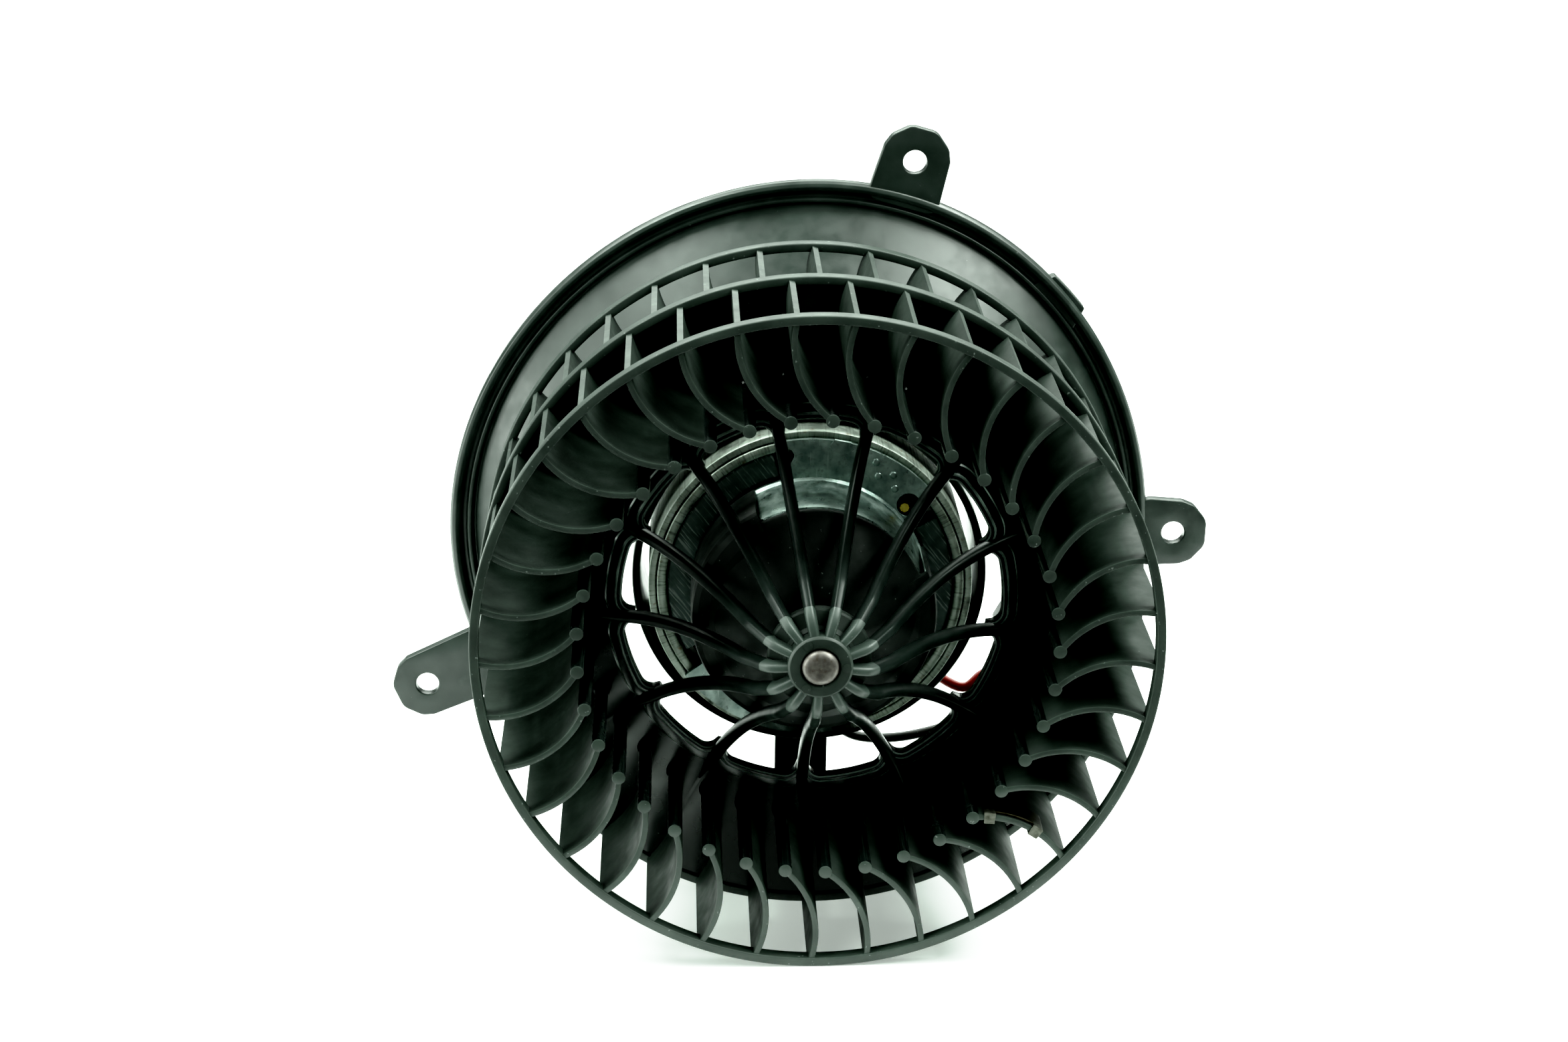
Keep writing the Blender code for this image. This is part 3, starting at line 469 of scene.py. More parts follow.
def sheared_steel():
    """Punched steel edge: radial shear marks, smudges, rust spots and painted shade over its lower arc."""
    f = Finish("yoke_steel_edge", 0.45, metallic=0.85)
    f.base((0.37, 0.42, 0.37), (0.60, 0.67, 0.60), 4.0)
    marks = f.raw_noise(f.polar_place(420.0, 0.25), 3.0)
    f.paint(f.ramp(marks, 0.52, 0.72, 0.0, 0.65), (0.10, 0.105, 0.09))
    f.paint(f.ramp(f.noise(2.4, 5.0), 0.62, 0.72, 0.0, 0.7), (0.22, 0.13, 0.07))
    f.paint(f.ramp(f.noise(8.0, 4.0), 0.62, 0.72, 0.0, 0.85), (0.035, 0.035, 0.03))
    # Painted shade: darkens the ring's lower arc, from -118 to -72 degrees.
    f.paint_shade_arc(-118.0, -72.0)
    f.carve(marks, 0.05)
    f.polish(f.ramp(f.noise(1.0, 4.0), 0.3, 0.7, 0.35, 0.6))
    return f.done()


def zinc():
    """Dull zinc plate: blue-green cloudiness, spangle, fine scratches and painted shade over its lower arc.
    """
    f = Finish("zinc_plated", 0.34, metallic=0.9)
    f.base((0.26, 0.33, 0.31), (0.50, 0.60, 0.56), 3.5)
    f.paint(f.ramp(f.noise(1.0, 5.0), 0.56, 0.74, 0.0, 0.5), (0.16, 0.19, 0.18))
    scratch = f.noise(0.5, 2.0, stretch=(1.0, 1.0, 0.05))
    f.paint(f.ramp(scratch, 0.66, 0.74, 0.0, 0.5), (0.72, 0.80, 0.76))
    # Painted shade: darkens the pressing's lower arc, from -114 to -60 degrees.
    f.paint_shade_arc(-114.0, -60.0)
    f.carve(f.noise(1.6, 3.0), 0.03)
    f.carve(scratch, 0.006)
    f.polish(f.ramp(f.noise(2.2, 5.0), 0.3, 0.7, 0.24, 0.5))
    return f.done()


def ferrite():
    """Sintered magnet, ground with slanting scratches."""
    f = Finish("ferrite_ground", 0.5, specular=0.5)
    f.base((0.100, 0.125, 0.118), (0.175, 0.215, 0.205), 5.0)
    turn = f.add("ShaderNodeVectorRotate", rotation_type="Y_AXIS")
    f.link(f.place, turn.inputs["Vector"])
    turn.inputs["Angle"].default_value = math.radians(-52.0)
    scratch = f.noise(0.42, 3.0, stretch=(0.06, 1.0, 1.0), place=turn.outputs[0])
    f.paint(f.ramp(scratch, 0.56, 0.66, 0.0, 0.8), (0.42, 0.47, 0.45))
    f.carve(scratch, -0.05)
    f.polish(f.ramp(f.noise(2.0, 4.0), 0.3, 0.7, 0.38, 0.62))
    return f.done()


def metal(name, dark, light, roughness, size_mm=1.2, relief=0.01):
    f = Finish(name, roughness, metallic=1.0)
    f.base(dark, light, size_mm)
    f.carve(f.noise(size_mm * 0.4, 3.0), relief)
    f.polish(f.ramp(f.noise(size_mm, 4.0), 0.3, 0.7, roughness - 0.08, roughness + 0.12))
    return f.done()


def windings():
    """Enamelled wire laid side by side."""
    f = Finish("copper_winding", 0.3, metallic=0.9)
    f.base((0.30, 0.09, 0.04), (0.55, 0.20, 0.09), 1.5)
    wave = f.add("ShaderNodeTexWave", bands_direction="Y")
    wave.inputs["Scale"].default_value = 0.32 / (0.5 * MM)
    wave.inputs["Distortion"].default_value = 0.6
    f.link(f.place, wave.inputs["Vector"])
    f.paint(f.ramp(wave.outputs["Fac"], 0.0, 0.35, 0.8, 0.0), (0.05, 0.02, 0.01))
    f.carve(wave.outputs["Fac"], 0.12)
    f.polish(f.ramp(f.noise(1.0), 0.3, 0.7, 0.22, 0.4))
    return f.done()


def stacked_steel():
    """Armature core: thin laminations along the shaft."""
    f = Finish("lamination_stack", 0.4, metallic=0.9)
    f.base((0.20, 0.20, 0.20), (0.36, 0.37, 0.37), 2.0)
    wave = f.add("ShaderNodeTexWave", bands_direction="Y")
    wave.inputs["Scale"].default_value = 0.32 / (0.65 * MM)
    f.link(f.place, wave.inputs["Vector"])
    f.paint(f.ramp(wave.outputs["Fac"], 0.0, 0.25, 0.8, 0.0), (0.05, 0.04, 0.035))
    f.carve(wave.outputs["Fac"], 0.05)
    f.polish(f.ramp(f.noise(1.2), 0.3, 0.7, 0.34, 0.55))
    return f.done()


MATTE = moulded("wheel_matte", (0.018, 0.025, 0.021), (0.031, 0.041, 0.035), 0.46, 0.62, 0.010)
SPOKE = moulded("wheel_spokes", (0.010, 0.013, 0.012), (0.018, 0.023, 0.021), 0.30, 0.42, 0.004, 0.80, 0.2)
# A lighter copy of the wheel plastic for the hub's ribs: painted light where the hub catches light from
# above.
RIBS_PAINTED_LIGHT = moulded("wheel_hub_ribs_painted_light", (0.040, 0.051, 0.046), (0.063, 0.079, 0.070), 0.38, 0.54, 0.010)
# A darker, glossier copy of the wheel plastic for the blade sides and the hub flare: the satin gloss is
# real, the darker colour is painted shade.
SATIN_PAINTED_SHADE = moulded("wheel_satin_painted_shade", (0.014, 0.019, 0.016), (0.024, 0.031, 0.027), 0.50, 0.66, 0.008, 0.76, 0.3)
GLOSS = glossy_web()
# A lighter copy of the wheel plastic for the collar's edges: painted highlights.
PAINTED_EDGE_HIGHLIGHT = moulded("wheel_painted_edge_highlight", (0.10, 0.125, 0.112), (0.16, 0.20, 0.18), 0.26, 0.40, 0.003, 0.80)
FLANGE = moulded("flange_gloss", (0.018, 0.024, 0.021), (0.029, 0.037, 0.033), 0.28, 0.44, 0.005, dust=0.76)
CAP = moulded("cap_dull", (0.006, 0.008, 0.0075), (0.016, 0.020, 0.018), 0.42, 0.65, 0.012, dust=0.72)
SOCKET = moulded("socket_moulding", (0.018, 0.020, 0.020), (0.030, 0.033, 0.033), 0.40, 0.55, 0.010)
RUBBER = moulded("mount_rubber", (0.008, 0.008, 0.008), (0.020, 0.021, 0.020), 0.70, 0.88, 0.030)
RED_WIRE = moulded("wire_red", (0.26, 0.012, 0.010), (0.42, 0.030, 0.024), 0.32, 0.46, 0.010)
BLACK_WIRE = moulded("wire_black", (0.008, 0.008, 0.008), (0.020, 0.021, 0.021), 0.32, 0.46, 0.010)
CARBON = moulded("carbon_block", (0.016, 0.016, 0.018), (0.034, 0.034, 0.036), 0.45, 0.65, 0.020)
CARD = moulded("card_board", (0.050, 0.028, 0.013), (0.090, 0.052, 0.026), 0.50, 0.70, 0.020)
SHAFT = ground_steel()
YOKE = sheared_steel()
ZINC = zinc()
MAGNET = ferrite()
SPRING = metal("spring_strip", (0.16, 0.17, 0.16), (0.34, 0.36, 0.34), 0.34)
CLIP_DARK = metal("clip_blued", (0.030, 0.026, 0.018), (0.070, 0.062, 0.045), 0.42)
CLIP_WORN = metal("clip_worn", (0.07, 0.07, 0.06), (0.16, 0.16, 0.14), 0.50)
BRASS = metal("brass_bright", (0.62, 0.46, 0.10), (0.86, 0.72, 0.22), 0.28)
BRONZE = metal("bronze_sintered", (0.30, 0.19, 0.10), (0.48, 0.33, 0.19), 0.45, 0.6, 0.03)
COPPER = windings()
STACK = stacked_steel()


# Wheel


def blade_centre():
    """The centre of the blade's arc, for a blade whose inner edge lies on the +X direction."""
    lean = math.radians(BLADE_LEAN)
    inner = Vector((BLADE_INNER_RADIUS, 0.0))
    outer = Vector((BLADE_OUTER_RADIUS * math.cos(lean), BLADE_OUTER_RADIUS * math.sin(lean)))
    chord = outer - inner
    reach = math.sqrt(BLADE_ARC_RADIUS**2 - chord.length_squared / 4.0)
    away = Vector((chord.y, -chord.x)).normalized()
    centre = (inner + outer) / 2.0 + away * reach
    start = math.degrees(math.atan2(inner.y - centre.y, inner.x - centre.x))
    end = math.degrees(math.atan2(outer.y - centre.y, outer.x - centre.x))
    return centre, start, end


def blade_outline(shrink, cut):
    """A blade's cross-section, less this share of its arc at the inner end."""
    centre, start, end = blade_centre()
    start += (end - start) * cut
    half = BLADE_THICKNESS / 2.0 - shrink
    outer_side = arc_points(centre, BLADE_ARC_RADIUS + half, start, end, BLADE_STEPS)
    inner_side = arc_points(centre, BLADE_ARC_RADIUS - half, end, start, BLADE_STEPS)
    return outer_side + inner_side


def add_blade_row(bm, first, front, back, cut=0.0):
    """Curved blades with satin sides, darkened as painted shade, and slightly rounded, matt edges."""
    soft = 0.22
    edge = math.copysign(soft, back - front)
    levels = ((soft, front), (soft * 0.3, front + edge * 0.3), (0.0, front + edge), (0.0, back))
    for index in range(BLADE_COUNT):
        rings = []
        for shrink, y in levels:
            outline = turned(blade_outline(shrink, cut), first + index * BLADE_PITCH)
            rings.append([Vector((x, y, z)) for x, z in outline])
        sides = loft(bm, rings)[-1]
        for corner, face in enumerate(sides):
            face.material_index = MATT_FACE if corner == BLADE_STEPS else BLADE_SIDE_SHADED


def add_round(bm, centre, profile, steps, finish):
    """A round body along Y about this (x, z) centre, from (radius, y) pairs."""
    rings = []
    for radius, y in profile:
        points = arc_points(centre, radius, 0.0, 360.0 - 360.0 / steps, steps - 1)
        rings.append([Vector((x, y, z)) for x, z in points])
    loft(bm, rings, finish=finish)


def add_pins(bm):
    """Polished columns down the blades' inner edges, each with a matt head and a boss on the web."""
    front = WHEEL_FRONT + BLADE_RECESS - 0.12
    head = [(PIN_RADIUS - 0.3, front), (PIN_RADIUS - 0.08, front + 0.08), (PIN_RADIUS, front + 0.3)]
    stem = [(PIN_RADIUS, front + 0.3), (PIN_RADIUS, WEB_FRONT + 0.5)]
    boss = [(0.5, WEB_FRONT - 2.3), (1.3, WEB_FRONT - 2.1), (1.8, WEB_FRONT - 1.5)]
    boss += [(PIN_BOSS_RADIUS, WEB_FRONT - 0.7), (PIN_BOSS_RADIUS, WEB_FRONT + 0.4)]
    for index in range(BLADE_COUNT):
        centre = spot(BLADE_INNER_RADIUS, BLADE_FIRST + index * BLADE_PITCH)
        add_round(bm, centre, head, 20, MATT_FACE)
        add_round(bm, centre, stem, 20, POLISHED)
        add_round(bm, centre, boss, 20, POLISHED)


def add_rims(bm):
    fronts = (WHEEL_FRONT, WEB_MIDDLE - RIM_DEPTH / 2.0, WHEEL_BACK - RIM_DEPTH)
    for front in fronts:
        profile = rounded(tube_profile(RIM_INNER, WHEEL_RADIUS, front, front + RIM_DEPTH), 0.35)
        add_lathe(bm, profile, steps=RIM_STEPS)


def window_edge(angle, offset):
    """Radius of a line this far outside the windows' outline, which has a round corner at each spoke."""
    from_spoke = (angle - SPOKE_FIRST) % SPOKE_PITCH
    from_spoke = min(from_spoke, SPOKE_PITCH - from_spoke)
    along = math.radians(from_spoke) * WINDOW_RADIUS
    corner = SPOKE_WIDTH / 2.0 + WINDOW_CORNER
    if along >= corner:
        return WINDOW_RADIUS + offset
    rise = (WINDOW_CORNER + offset) ** 2 - (corner - along) ** 2
    return WINDOW_RADIUS - WINDOW_CORNER + math.sqrt(max(rise, 0.0))


def add_web(bm):
    """The disc between the rows: a stepped collar follows the windows' outline, with painted highlights on
    its edges.
    """
    front = WEB_FRONT
    back = WEB_FRONT + WEB_THICKNESS
    collar = [
        (0.35, back),
        (0.0, back - 0.35),
        (0.0, front - 1.2),
        (0.12, front - 1.45),
        (0.45, front - 1.6),
        (1.15, front - 1.6),
        (1.45, front - 1.5),
        (1.7, front - 1.1),
        (1.85, front - 0.6),
        (3.1, front - 0.6),
        (3.4, front - 0.5),
        (3.7, front - 0.1),
        (3.9, front),
    ]
    # Faces at these offsets take the lighter edge finish: painted highlights along the collar.
    highlight_offsets = (0.12, 1.15, 1.45, 3.4)
    steps = SPOKE_COUNT * 48
    rings = []
    for step in range(steps):
        angle = SPOKE_FIRST + 360.0 * step / steps
        ring = [radial(window_edge(angle, offset), angle, y) for offset, y in collar]
        ring += [radial(RIM_INNER + 0.5, angle, front), radial(RIM_INNER + 0.5, angle, back)]
        rings.append(ring)
    edges = [corner for corner, (offset, _) in enumerate(collar) if offset in highlight_offsets]
    for band in loft(bm, rings, loop=True, finish=POLISHED):
        for corner in edges:
            band[corner].material_index = COLLAR_PAINTED_HIGHLIGHT


def spoke_y(radius):
    """The spokes' middle: level over the hub, then a bowl that runs out level at the web."""
    sag = 0.36 * max(0.0, SPOKE_SHOULDER_RADIUS - radius)
    bowl = WEB_FRONT - 0.4 - SPOKE_BOWL * (SPOKE_END_RADIUS - min(radius + sag, SPOKE_END_RADIUS)) ** 2
    root = HUB_FRONT + 1.9 + 0.12 * (radius - SPOKE_ROOT_RADIUS)
    blend = 1.2
    return (bowl + root + math.hypot(bowl - root, blend)) / 2.0 - 0.02


def bar_section(middle, side, normal, half_width, half_depth):
    """Rounded section of a spoke, narrower on its front."""
    steps = 18
    squareness = 0.55
    ring = []
    for step in range(steps):
        turn = 2.0 * math.pi * step / steps
        across, deep = math.cos(turn), math.sin(turn)
        across = math.copysign(abs(across) ** squareness, across)
        deep = math.copysign(abs(deep) ** squareness, deep)
        taper = 1.0 + 0.16 * deep
        ring.append(middle + side * half_width * across * taper + normal * half_depth * deep)
    return ring


def spoke_section(radius):
    """Half width, half depth and how far it sinks: slim on the hub, faded into the web."""
    slim = SPOKE_ROOT_WIDTH / 2.0
    grow = min(1.0, (radius - SPOKE_ROOT_RADIUS) / 14.0)
    fade = min(1.0, max(0.06, (SPOKE_TIP_RADIUS + 0.3 - radius) / 9.0))
    half_width = (slim + (SPOKE_WIDTH / 2.0 - slim) * grow) * fade**0.7
    return half_width, SPOKE_DEPTH / 2.0 * fade**0.5, 1.1 * (1.0 - fade)


def add_spokes(bm):
    root_steps = 25
    bar_steps = 28
    radii = [SPOKE_ROOT_RADIUS + 0.45 * step for step in range(root_steps + 1)]
    bar_length = SPOKE_TIP_RADIUS - radii[-1]
    radii += [radii[-1] + bar_length * step / bar_steps for step in range(1, bar_steps + 1)]
    for index in range(SPOKE_COUNT):
        angle = SPOKE_FIRST + index * SPOKE_PITCH
        side = radial(1.0, angle + 90.0, 0.0)
        rings = []
        for radius in radii:
            slope = (spoke_y(radius + 0.1) - spoke_y(radius - 0.1)) / 0.2
            normal = (radial(-slope, angle, 0.0) + Vector((0.0, 1.0, 0.0))).normalized()
            half_width, half_depth, sunk = spoke_section(radius)
            middle = radial(radius, angle, spoke_y(radius) + sunk)
            rings.append(bar_section(middle, side, normal, half_width, half_depth))
        # Inside the rib radius the bars take the lighter rib finish: painted light on the hub.
        for radius, band in zip(radii, loft(bm, rings)):
            for face in band:
                face.material_index = HUB_RIB_PAINTED_LIGHT if radius < RIB_END_RADIUS else SPOKE_BAR


def add_hub(bm):
    """Hub body with three ejector marks, and the thin flare behind the ribs."""
    skirt = WHEEL_FRONT - 2.2
    back = WHEEL_FRONT + 8.0
    body = [
        (HUB_BORE, back),
        (HUB_BORE, HUB_FRONT + 0.3),
        (HUB_BORE + 0.3, HUB_FRONT),
        (HUB_RADIUS - 0.5, HUB_FRONT),
        (HUB_RADIUS, HUB_FRONT + 0.5),
        (HUB_RADIUS + 0.2, skirt),
        (HUB_RADIUS, back),
    ]
    add_lathe(bm, rounded(body, 0.25), finish=MATT_FACE)
    flare = [
        (HUB_RADIUS - 1.0, skirt - 2.6),
        (HUB_RADIUS + 0.3, skirt - 2.6),
        (HUB_RADIUS + 0.9, skirt - 1.4),
        (HUB_SKIRT_RADIUS - 0.4, skirt),
        (HUB_SKIRT_RADIUS, skirt + 0.4),
        (HUB_SKIRT_RADIUS, skirt + 2.2),
        (HUB_RADIUS + 0.6, skirt + 3.4),
        (HUB_RADIUS - 1.0, skirt + 3.4),
    ]
    # The flare takes the darker blade-side finish: painted shade between the ribs.
    add_lathe(bm, rounded(flare, 0.25), finish=BLADE_SIDE_SHADED)
    for angle in EJECTOR_ANGLES:
        centre = spot(EJECTOR_RADIUS, angle)
        mark = [(1.02, HUB_FRONT + 0.2), (1.02, HUB_FRONT - 0.06), (0.86, HUB_FRONT - 0.1)]
        add_round(bm, centre, mark, 20, MATT_FACE)


def make_wheel():
    bm = bmesh.new()
    add_rims(bm)
    add_blade_row(bm, BLADE_FIRST, WHEEL_FRONT + BLADE_RECESS, WEB_MIDDLE)
    rear_first = BLADE_FIRST + BLADE_PITCH / 2.0
    add_blade_row(bm, rear_first, WHEEL_BACK - BLADE_RECESS, WEB_MIDDLE, REAR_BLADE_START)
    add_pins(bm)
    add_web(bm)
    add_spokes(bm)
    add_hub(bm)
    nodes = ("fan_wheel_hub", "fan_wheel_front_blades", "fan_wheel_rear_blades")
    finishes = (MATTE, GLOSS, SATIN_PAINTED_SHADE, RIBS_PAINTED_LIGHT, SPOKE, PAINTED_EDGE_HIGHLIGHT)
    piece("wheel_moulding", bm, finishes, "rotor", nodes, sharp=34.0)


def make_shaft():
    """Shaft with a ground dome and a small centre mark."""
    radius = shaft_high.x
    tip = shaft_low.y
    end = shaft_high.y
    profile = [
        (0.0, tip + 0.16),
        (0.35, tip + 0.02),
        (1.6, tip + 0.06),
        (2.7, tip + 0.22),
        (3.3, tip + 0.5),
        (3.75, tip + 0.95),
        (radius, tip + 1.6),
        (radius, end - 0.6),
        (radius - 0.6, end),
        (0.0, end),
    ]
    bm = bmesh.new()
    add_lathe(bm, profile, steps=64)
    piece("shaft_turned", bm, (SHAFT,), "rotor", ("motor_shaft",))


def add_strip(bm, across_near, across_far, turns, levels, turn_of_blade, finish):
    """A curved plate that follows the blade, between two offsets from its middle."""
    centre, _, _ = blade_centre()
    rings = []
    for turn in turns:
        ring = []
        for across, y in (
            (across_near, levels[0]),
            (across_far, levels[0]),
            (across_far, levels[1]),
            (across_near, levels[1]),
        ):
            at = arc_points(centre, BLADE_ARC_RADIUS + across, turn, turn, 1)[:1]
            x, z = turned(at, turn_of_blade)[0]
            ring.append(Vector((x, y, z)))
        rings.append(ring)
    loft(bm, rings, finish=finish)


def make_balance_clip():
    """Blued plate on the blade's upper side, with two worn tabs folded over the blade's front edge."""
    _, start, end = blade_centre()
    blade = BLADE_FIRST + 4 * BLADE_PITCH
    front = WHEEL_FRONT + BLADE_RECESS
    near = BLADE_THICKNESS / 2.0 + 0.06
    far = near + 0.55
    span = end - start
    finishes = (CLIP_WORN, CLIP_DARK)
    worn, blued = range(2)
    bm = bmesh.new()
    plate = [start + span * (0.10 + 0.54 * step / 10) for step in range(11)]
    add_strip(bm, near, far, plate, (front + 0.8, front + 7.6), blade, blued)
    for share in (0.10, 0.54):
        tab = [start + span * (share + 0.10 * step / 4) for step in range(5)]
        add_strip(bm, near, far, tab, (front - 0.3, front + 2.0), blade, worn)
        add_strip(bm, -far, -near, tab, (front - 0.3, front + 2.2), blade, worn)
        add_strip(bm, -far, far, tab, (front - 0.42, front - 0.08), blade, worn)
    piece("balance_weight", bm, finishes, "rotor", ("balance_clip",), bevel=0.12)


# Motor


def make_yoke():
    """Deep-drawn can with a bearing pocket at its closed end."""
    inner = YOKE_RADIUS - YOKE_WALL
    pocket = 7.9
    back = CAN_BACK
    profile = [
        (inner, YOKE_FRONT + 0.3),
        (inner, back - YOKE_WALL - 1.6),
        (inner - 1.6, back - YOKE_WALL),
        (pocket, back - YOKE_WALL),
        (pocket, back + 7.0),
        (5.6, back + 7.0),
        (5.6, back + 8.6),
        (pocket + 0.6, back + 8.6),
        (pocket + 1.5, back + 7.6),
        (pocket + 1.5, back + 1.0),
        (pocket + 2.6, back),
        (YOKE_RADIUS - 9.0, back),
        (YOKE_RADIUS - 10.0, back - 0.8),
        (YOKE_RADIUS - 7.0, back - 0.8),
        (YOKE_RADIUS - 6.0, back),
        (YOKE_RADIUS - 2.6, back),
        (YOKE_RADIUS - 0.8, back - 0.8),
        (YOKE_RADIUS, back - 2.6),
        (YOKE_RADIUS, YOKE_FRONT + 0.3),
        (YOKE_RADIUS - 0.3, YOKE_FRONT),
        (inner + 0.3, YOKE_FRONT),
    ]
    bm = bmesh.new()
    add_lathe(bm, profile, steps=144)
    piece("yoke_can", bm, (YOKE,), "housing", ("motor_yoke",), sharp=50.0)
    bm = bmesh.new()
    ring = tube_profile(YOKE_RADIUS + 0.3, FLUX_RADIUS, flux_low.y, flux_high.y)
    add_lathe(bm, rounded(ring, 0.3), steps=144)
    piece("yoke_outer_ring", bm, (YOKE,), "housing", ("flux_ring",))


def make_magnets():
    for letter, side in (("a", 90.0), ("b", 270.0)):
        low, high = box("field_magnet_" + letter)
        profile = rounded(tube_profile(MAGNET_INNER, MAGNET_OUTER, low.y, high.y), 0.6)
        start = MOTOR_TILT + side - MAGNET_SPAN / 2.0
        bm = bmesh.new()
        add_lathe(bm, profile, start=start, sweep=MAGNET_SPAN, steps=64)
        name = "magnet_block_" + letter
        piece(name, bm, (MAGNET,), "housing", ("field_magnet_" + letter,), bevel=0.4, sharp=60.0)


def lobe_outline(start, end, wavy):
    """One of the bracket's lobes, as a sector whose first end can be scalloped."""
    inner = DRUM_ROOT_RADIUS - 1.0
    outline = arc_points((0.0, 0.0), inner, end, start, 24)
    if wavy:
        for share in range(1, 12):
            radius = inner + (PLATE_RADIUS - inner) * share / 12
            bulge = 2.6 * math.sin(math.pi * share / 12) * math.sin(2.2 * math.pi * share / 12)
            outline.append(spot(radius, start + bulge))
    outline += arc_points((0.0, 0.0), PLATE_RADIUS, start, end, 30)
    return outline


def make_front_bracket():
    """Zinc-plated pressing: a drum over the brush gear on two lobes that sit against the can."""
    nose_front = DRUM_FRONT - NOSE_REACH
    shaft_hole = 5.4
    drum = [
        (DRUM_ROOT_RADIUS - 1.1, PLATE_BACK),
        (DRUM_RADIUS - 1.1, DRUM_FRONT + 1.1),
        (NOSE_RADIUS, DRUM_FRONT + 1.1),
        (NOSE_RADIUS, nose_front + NOSE_WALL),
        (shaft_hole, nose_front + NOSE_WALL),
        (shaft_hole, nose_front),
        (NOSE_RADIUS + NOSE_WALL, nose_front),
        (NOSE_RADIUS + NOSE_WALL, DRUM_FRONT),
        (DRUM_RADIUS - 0.8, DRUM_FRONT),
        (DRUM_RADIUS, DRUM_FRONT + 0.8),
        (DRUM_ROOT_RADIUS - 0.1, PLATE_FRONT - 0.7),
        (DRUM_ROOT_RADIUS + 0.5, PLATE_FRONT - 0.1),
        (DRUM_ROOT_RADIUS + 0.5, PLATE_BACK),
    ]
    bm = bmesh.new()
    add_lathe(bm, rounded(drum, 0.3), steps=120)
    hole = arc_points(spot(29.6, 42.0), 2.7, 0.0, 348.0, 29)
    add_slab(bm, lobe_outline(99.0, 38.0, True), PLATE_FRONT, PLATE_BACK, [hole])
    add_slab(bm, lobe_outline(278.0, 216.0, True), PLATE_FRONT, PLATE_BACK)
    upper_dimples = ((60.5, 30.6), (55.5, 32.6), (51.5, 30.2), (64.0, 33.3))
    lower_dimples = ((240.0, 31.5), (262.0, 31.5))
    for angle, radius in upper_dimples + lower_dimples:
        centre = spot(radius, angle)
        dimple = [(0.95, PLATE_FRONT + 0.2), (0.8, PLATE_FRONT - 0.12), (0.45, PLATE_FRONT - 0.3)]
        add_round(bm, centre, dimple, 20, 0)
    stake = turned([(33.2, -2.2), (35.9, -2.2), (35.9, 1.6), (34.6, 2.4), (33.2, 1.8)], 79.0)
    add_slab(bm, stake, PLATE_FRONT - 0.7, PLATE_FRONT + 0.2)
    nodes = ("front_bracket",)
    piece("bracket_pressing", bm, (ZINC,), "housing", nodes, bevel=0.15, sharp=50.0)


def add_cap_dome(bm, back):
    """The cap's front, very slightly faceted, over the drum and its bearing nose."""
    front = cap_low.y
    nose = NOSE_RADIUS + NOSE_WALL + 0.3
    hole = 5.0
    outer = DRUM_RADIUS
    profile = [
        (hole, front + 1.2),
        (nose, front + 1.2),
        (nose, back),
        (outer - 0.2, back),
        (outer, back - 0.2),
        (outer, back - 1.1),
        (outer - 0.4, back - 1.7),
        (outer - 1.8, back - 2.8),
        (17.0, front + 3.1),
        (nose + 1.7, front + 0.5),
        (nose, front + 0.15),
        (hole + 0.4, front),
        (hole, front + 0.3),
    ]
    facets = 12
    steps = 144
    rings = []
    for step in range(steps):
        angle = 360.0 * step / steps
        wave = 0.5 - 0.5 * math.cos(math.radians(facets * angle))
        ring = []
        for radius, y in profile:
            inside = nose + 1.5 < radius < outer - 1.0
            ring.append(radial(radius, angle, y + (0.22 * wave if inside else 0.0)))
        rings.append(ring)
    loft(bm, rings, loop=True)


def make_brush_cap():
    """Dull cap with a skirt that leaves the drum's top bare."""
    back = DRUM_FRONT - 0.3
    bm = bmesh.new()
    add_cap_dome(bm, back)
    skirt_inner = SKIRT_RADIUS - SKIRT_WALL
    skirt = [
        (21.0, back),
        (21.0, back - 3.6),
        (23.4, back - 3.1),
        (SKIRT_RADIUS - 1.6, back - 1.9),
        (SKIRT_RADIUS - 0.4, back - 0.9),
        (SKIRT_RADIUS, back + 0.4),
        (SKIRT_RADIUS, PLATE_FRONT - 0.5),
        (skirt_inner, PLATE_FRONT - 0.5),
        (skirt_inner, back),
    ]
    add_lathe(bm, rounded(skirt, 0.3), start=SKIRT_START, sweep=SKIRT_SWEEP, steps=120)
    piece("cap_moulded", bm, (CAP,), "housing", ("brush_cap",), sharp=50.0)


def make_rubber_mounts():
    for letter, angle in zip("abc", MOUNT_ANGLES):
        low, high = box("rubber_mount_" + letter)
        profile = rounded(tube_profile(FLUX_RADIUS + 0.3, HOLDER_BORE - 0.3, low.y, high.y), 0.4)
        bm = bmesh.new()
        add_lathe(bm, profile, start=angle - 9.0, sweep=18.0, steps=12)
        name = "rubber_block_" + letter
        piece(name, bm, (RUBBER,), "housing", ("rubber_mount_" + letter,), bevel=0.3, sharp=60.0)


# Flange


def reach_to_outline(outline, angle):
    """How far a convex outline lies from the origin in this direction."""
    turn = math.radians(angle)
    direction = Vector((math.cos(turn), math.sin(turn)))
    reaches = []
    for index, point in enumerate(outline):
        start = Vector(outline[index - 1])
        along = Vector(point) - start
        normal = Vector((along.y, -along.x))
        facing = normal.dot(direction) * math.copysign(1.0, normal.dot(start))
        if facing > 1e-6:
            reaches.append(abs(normal.dot(start)) / facing)
    return min(reaches)


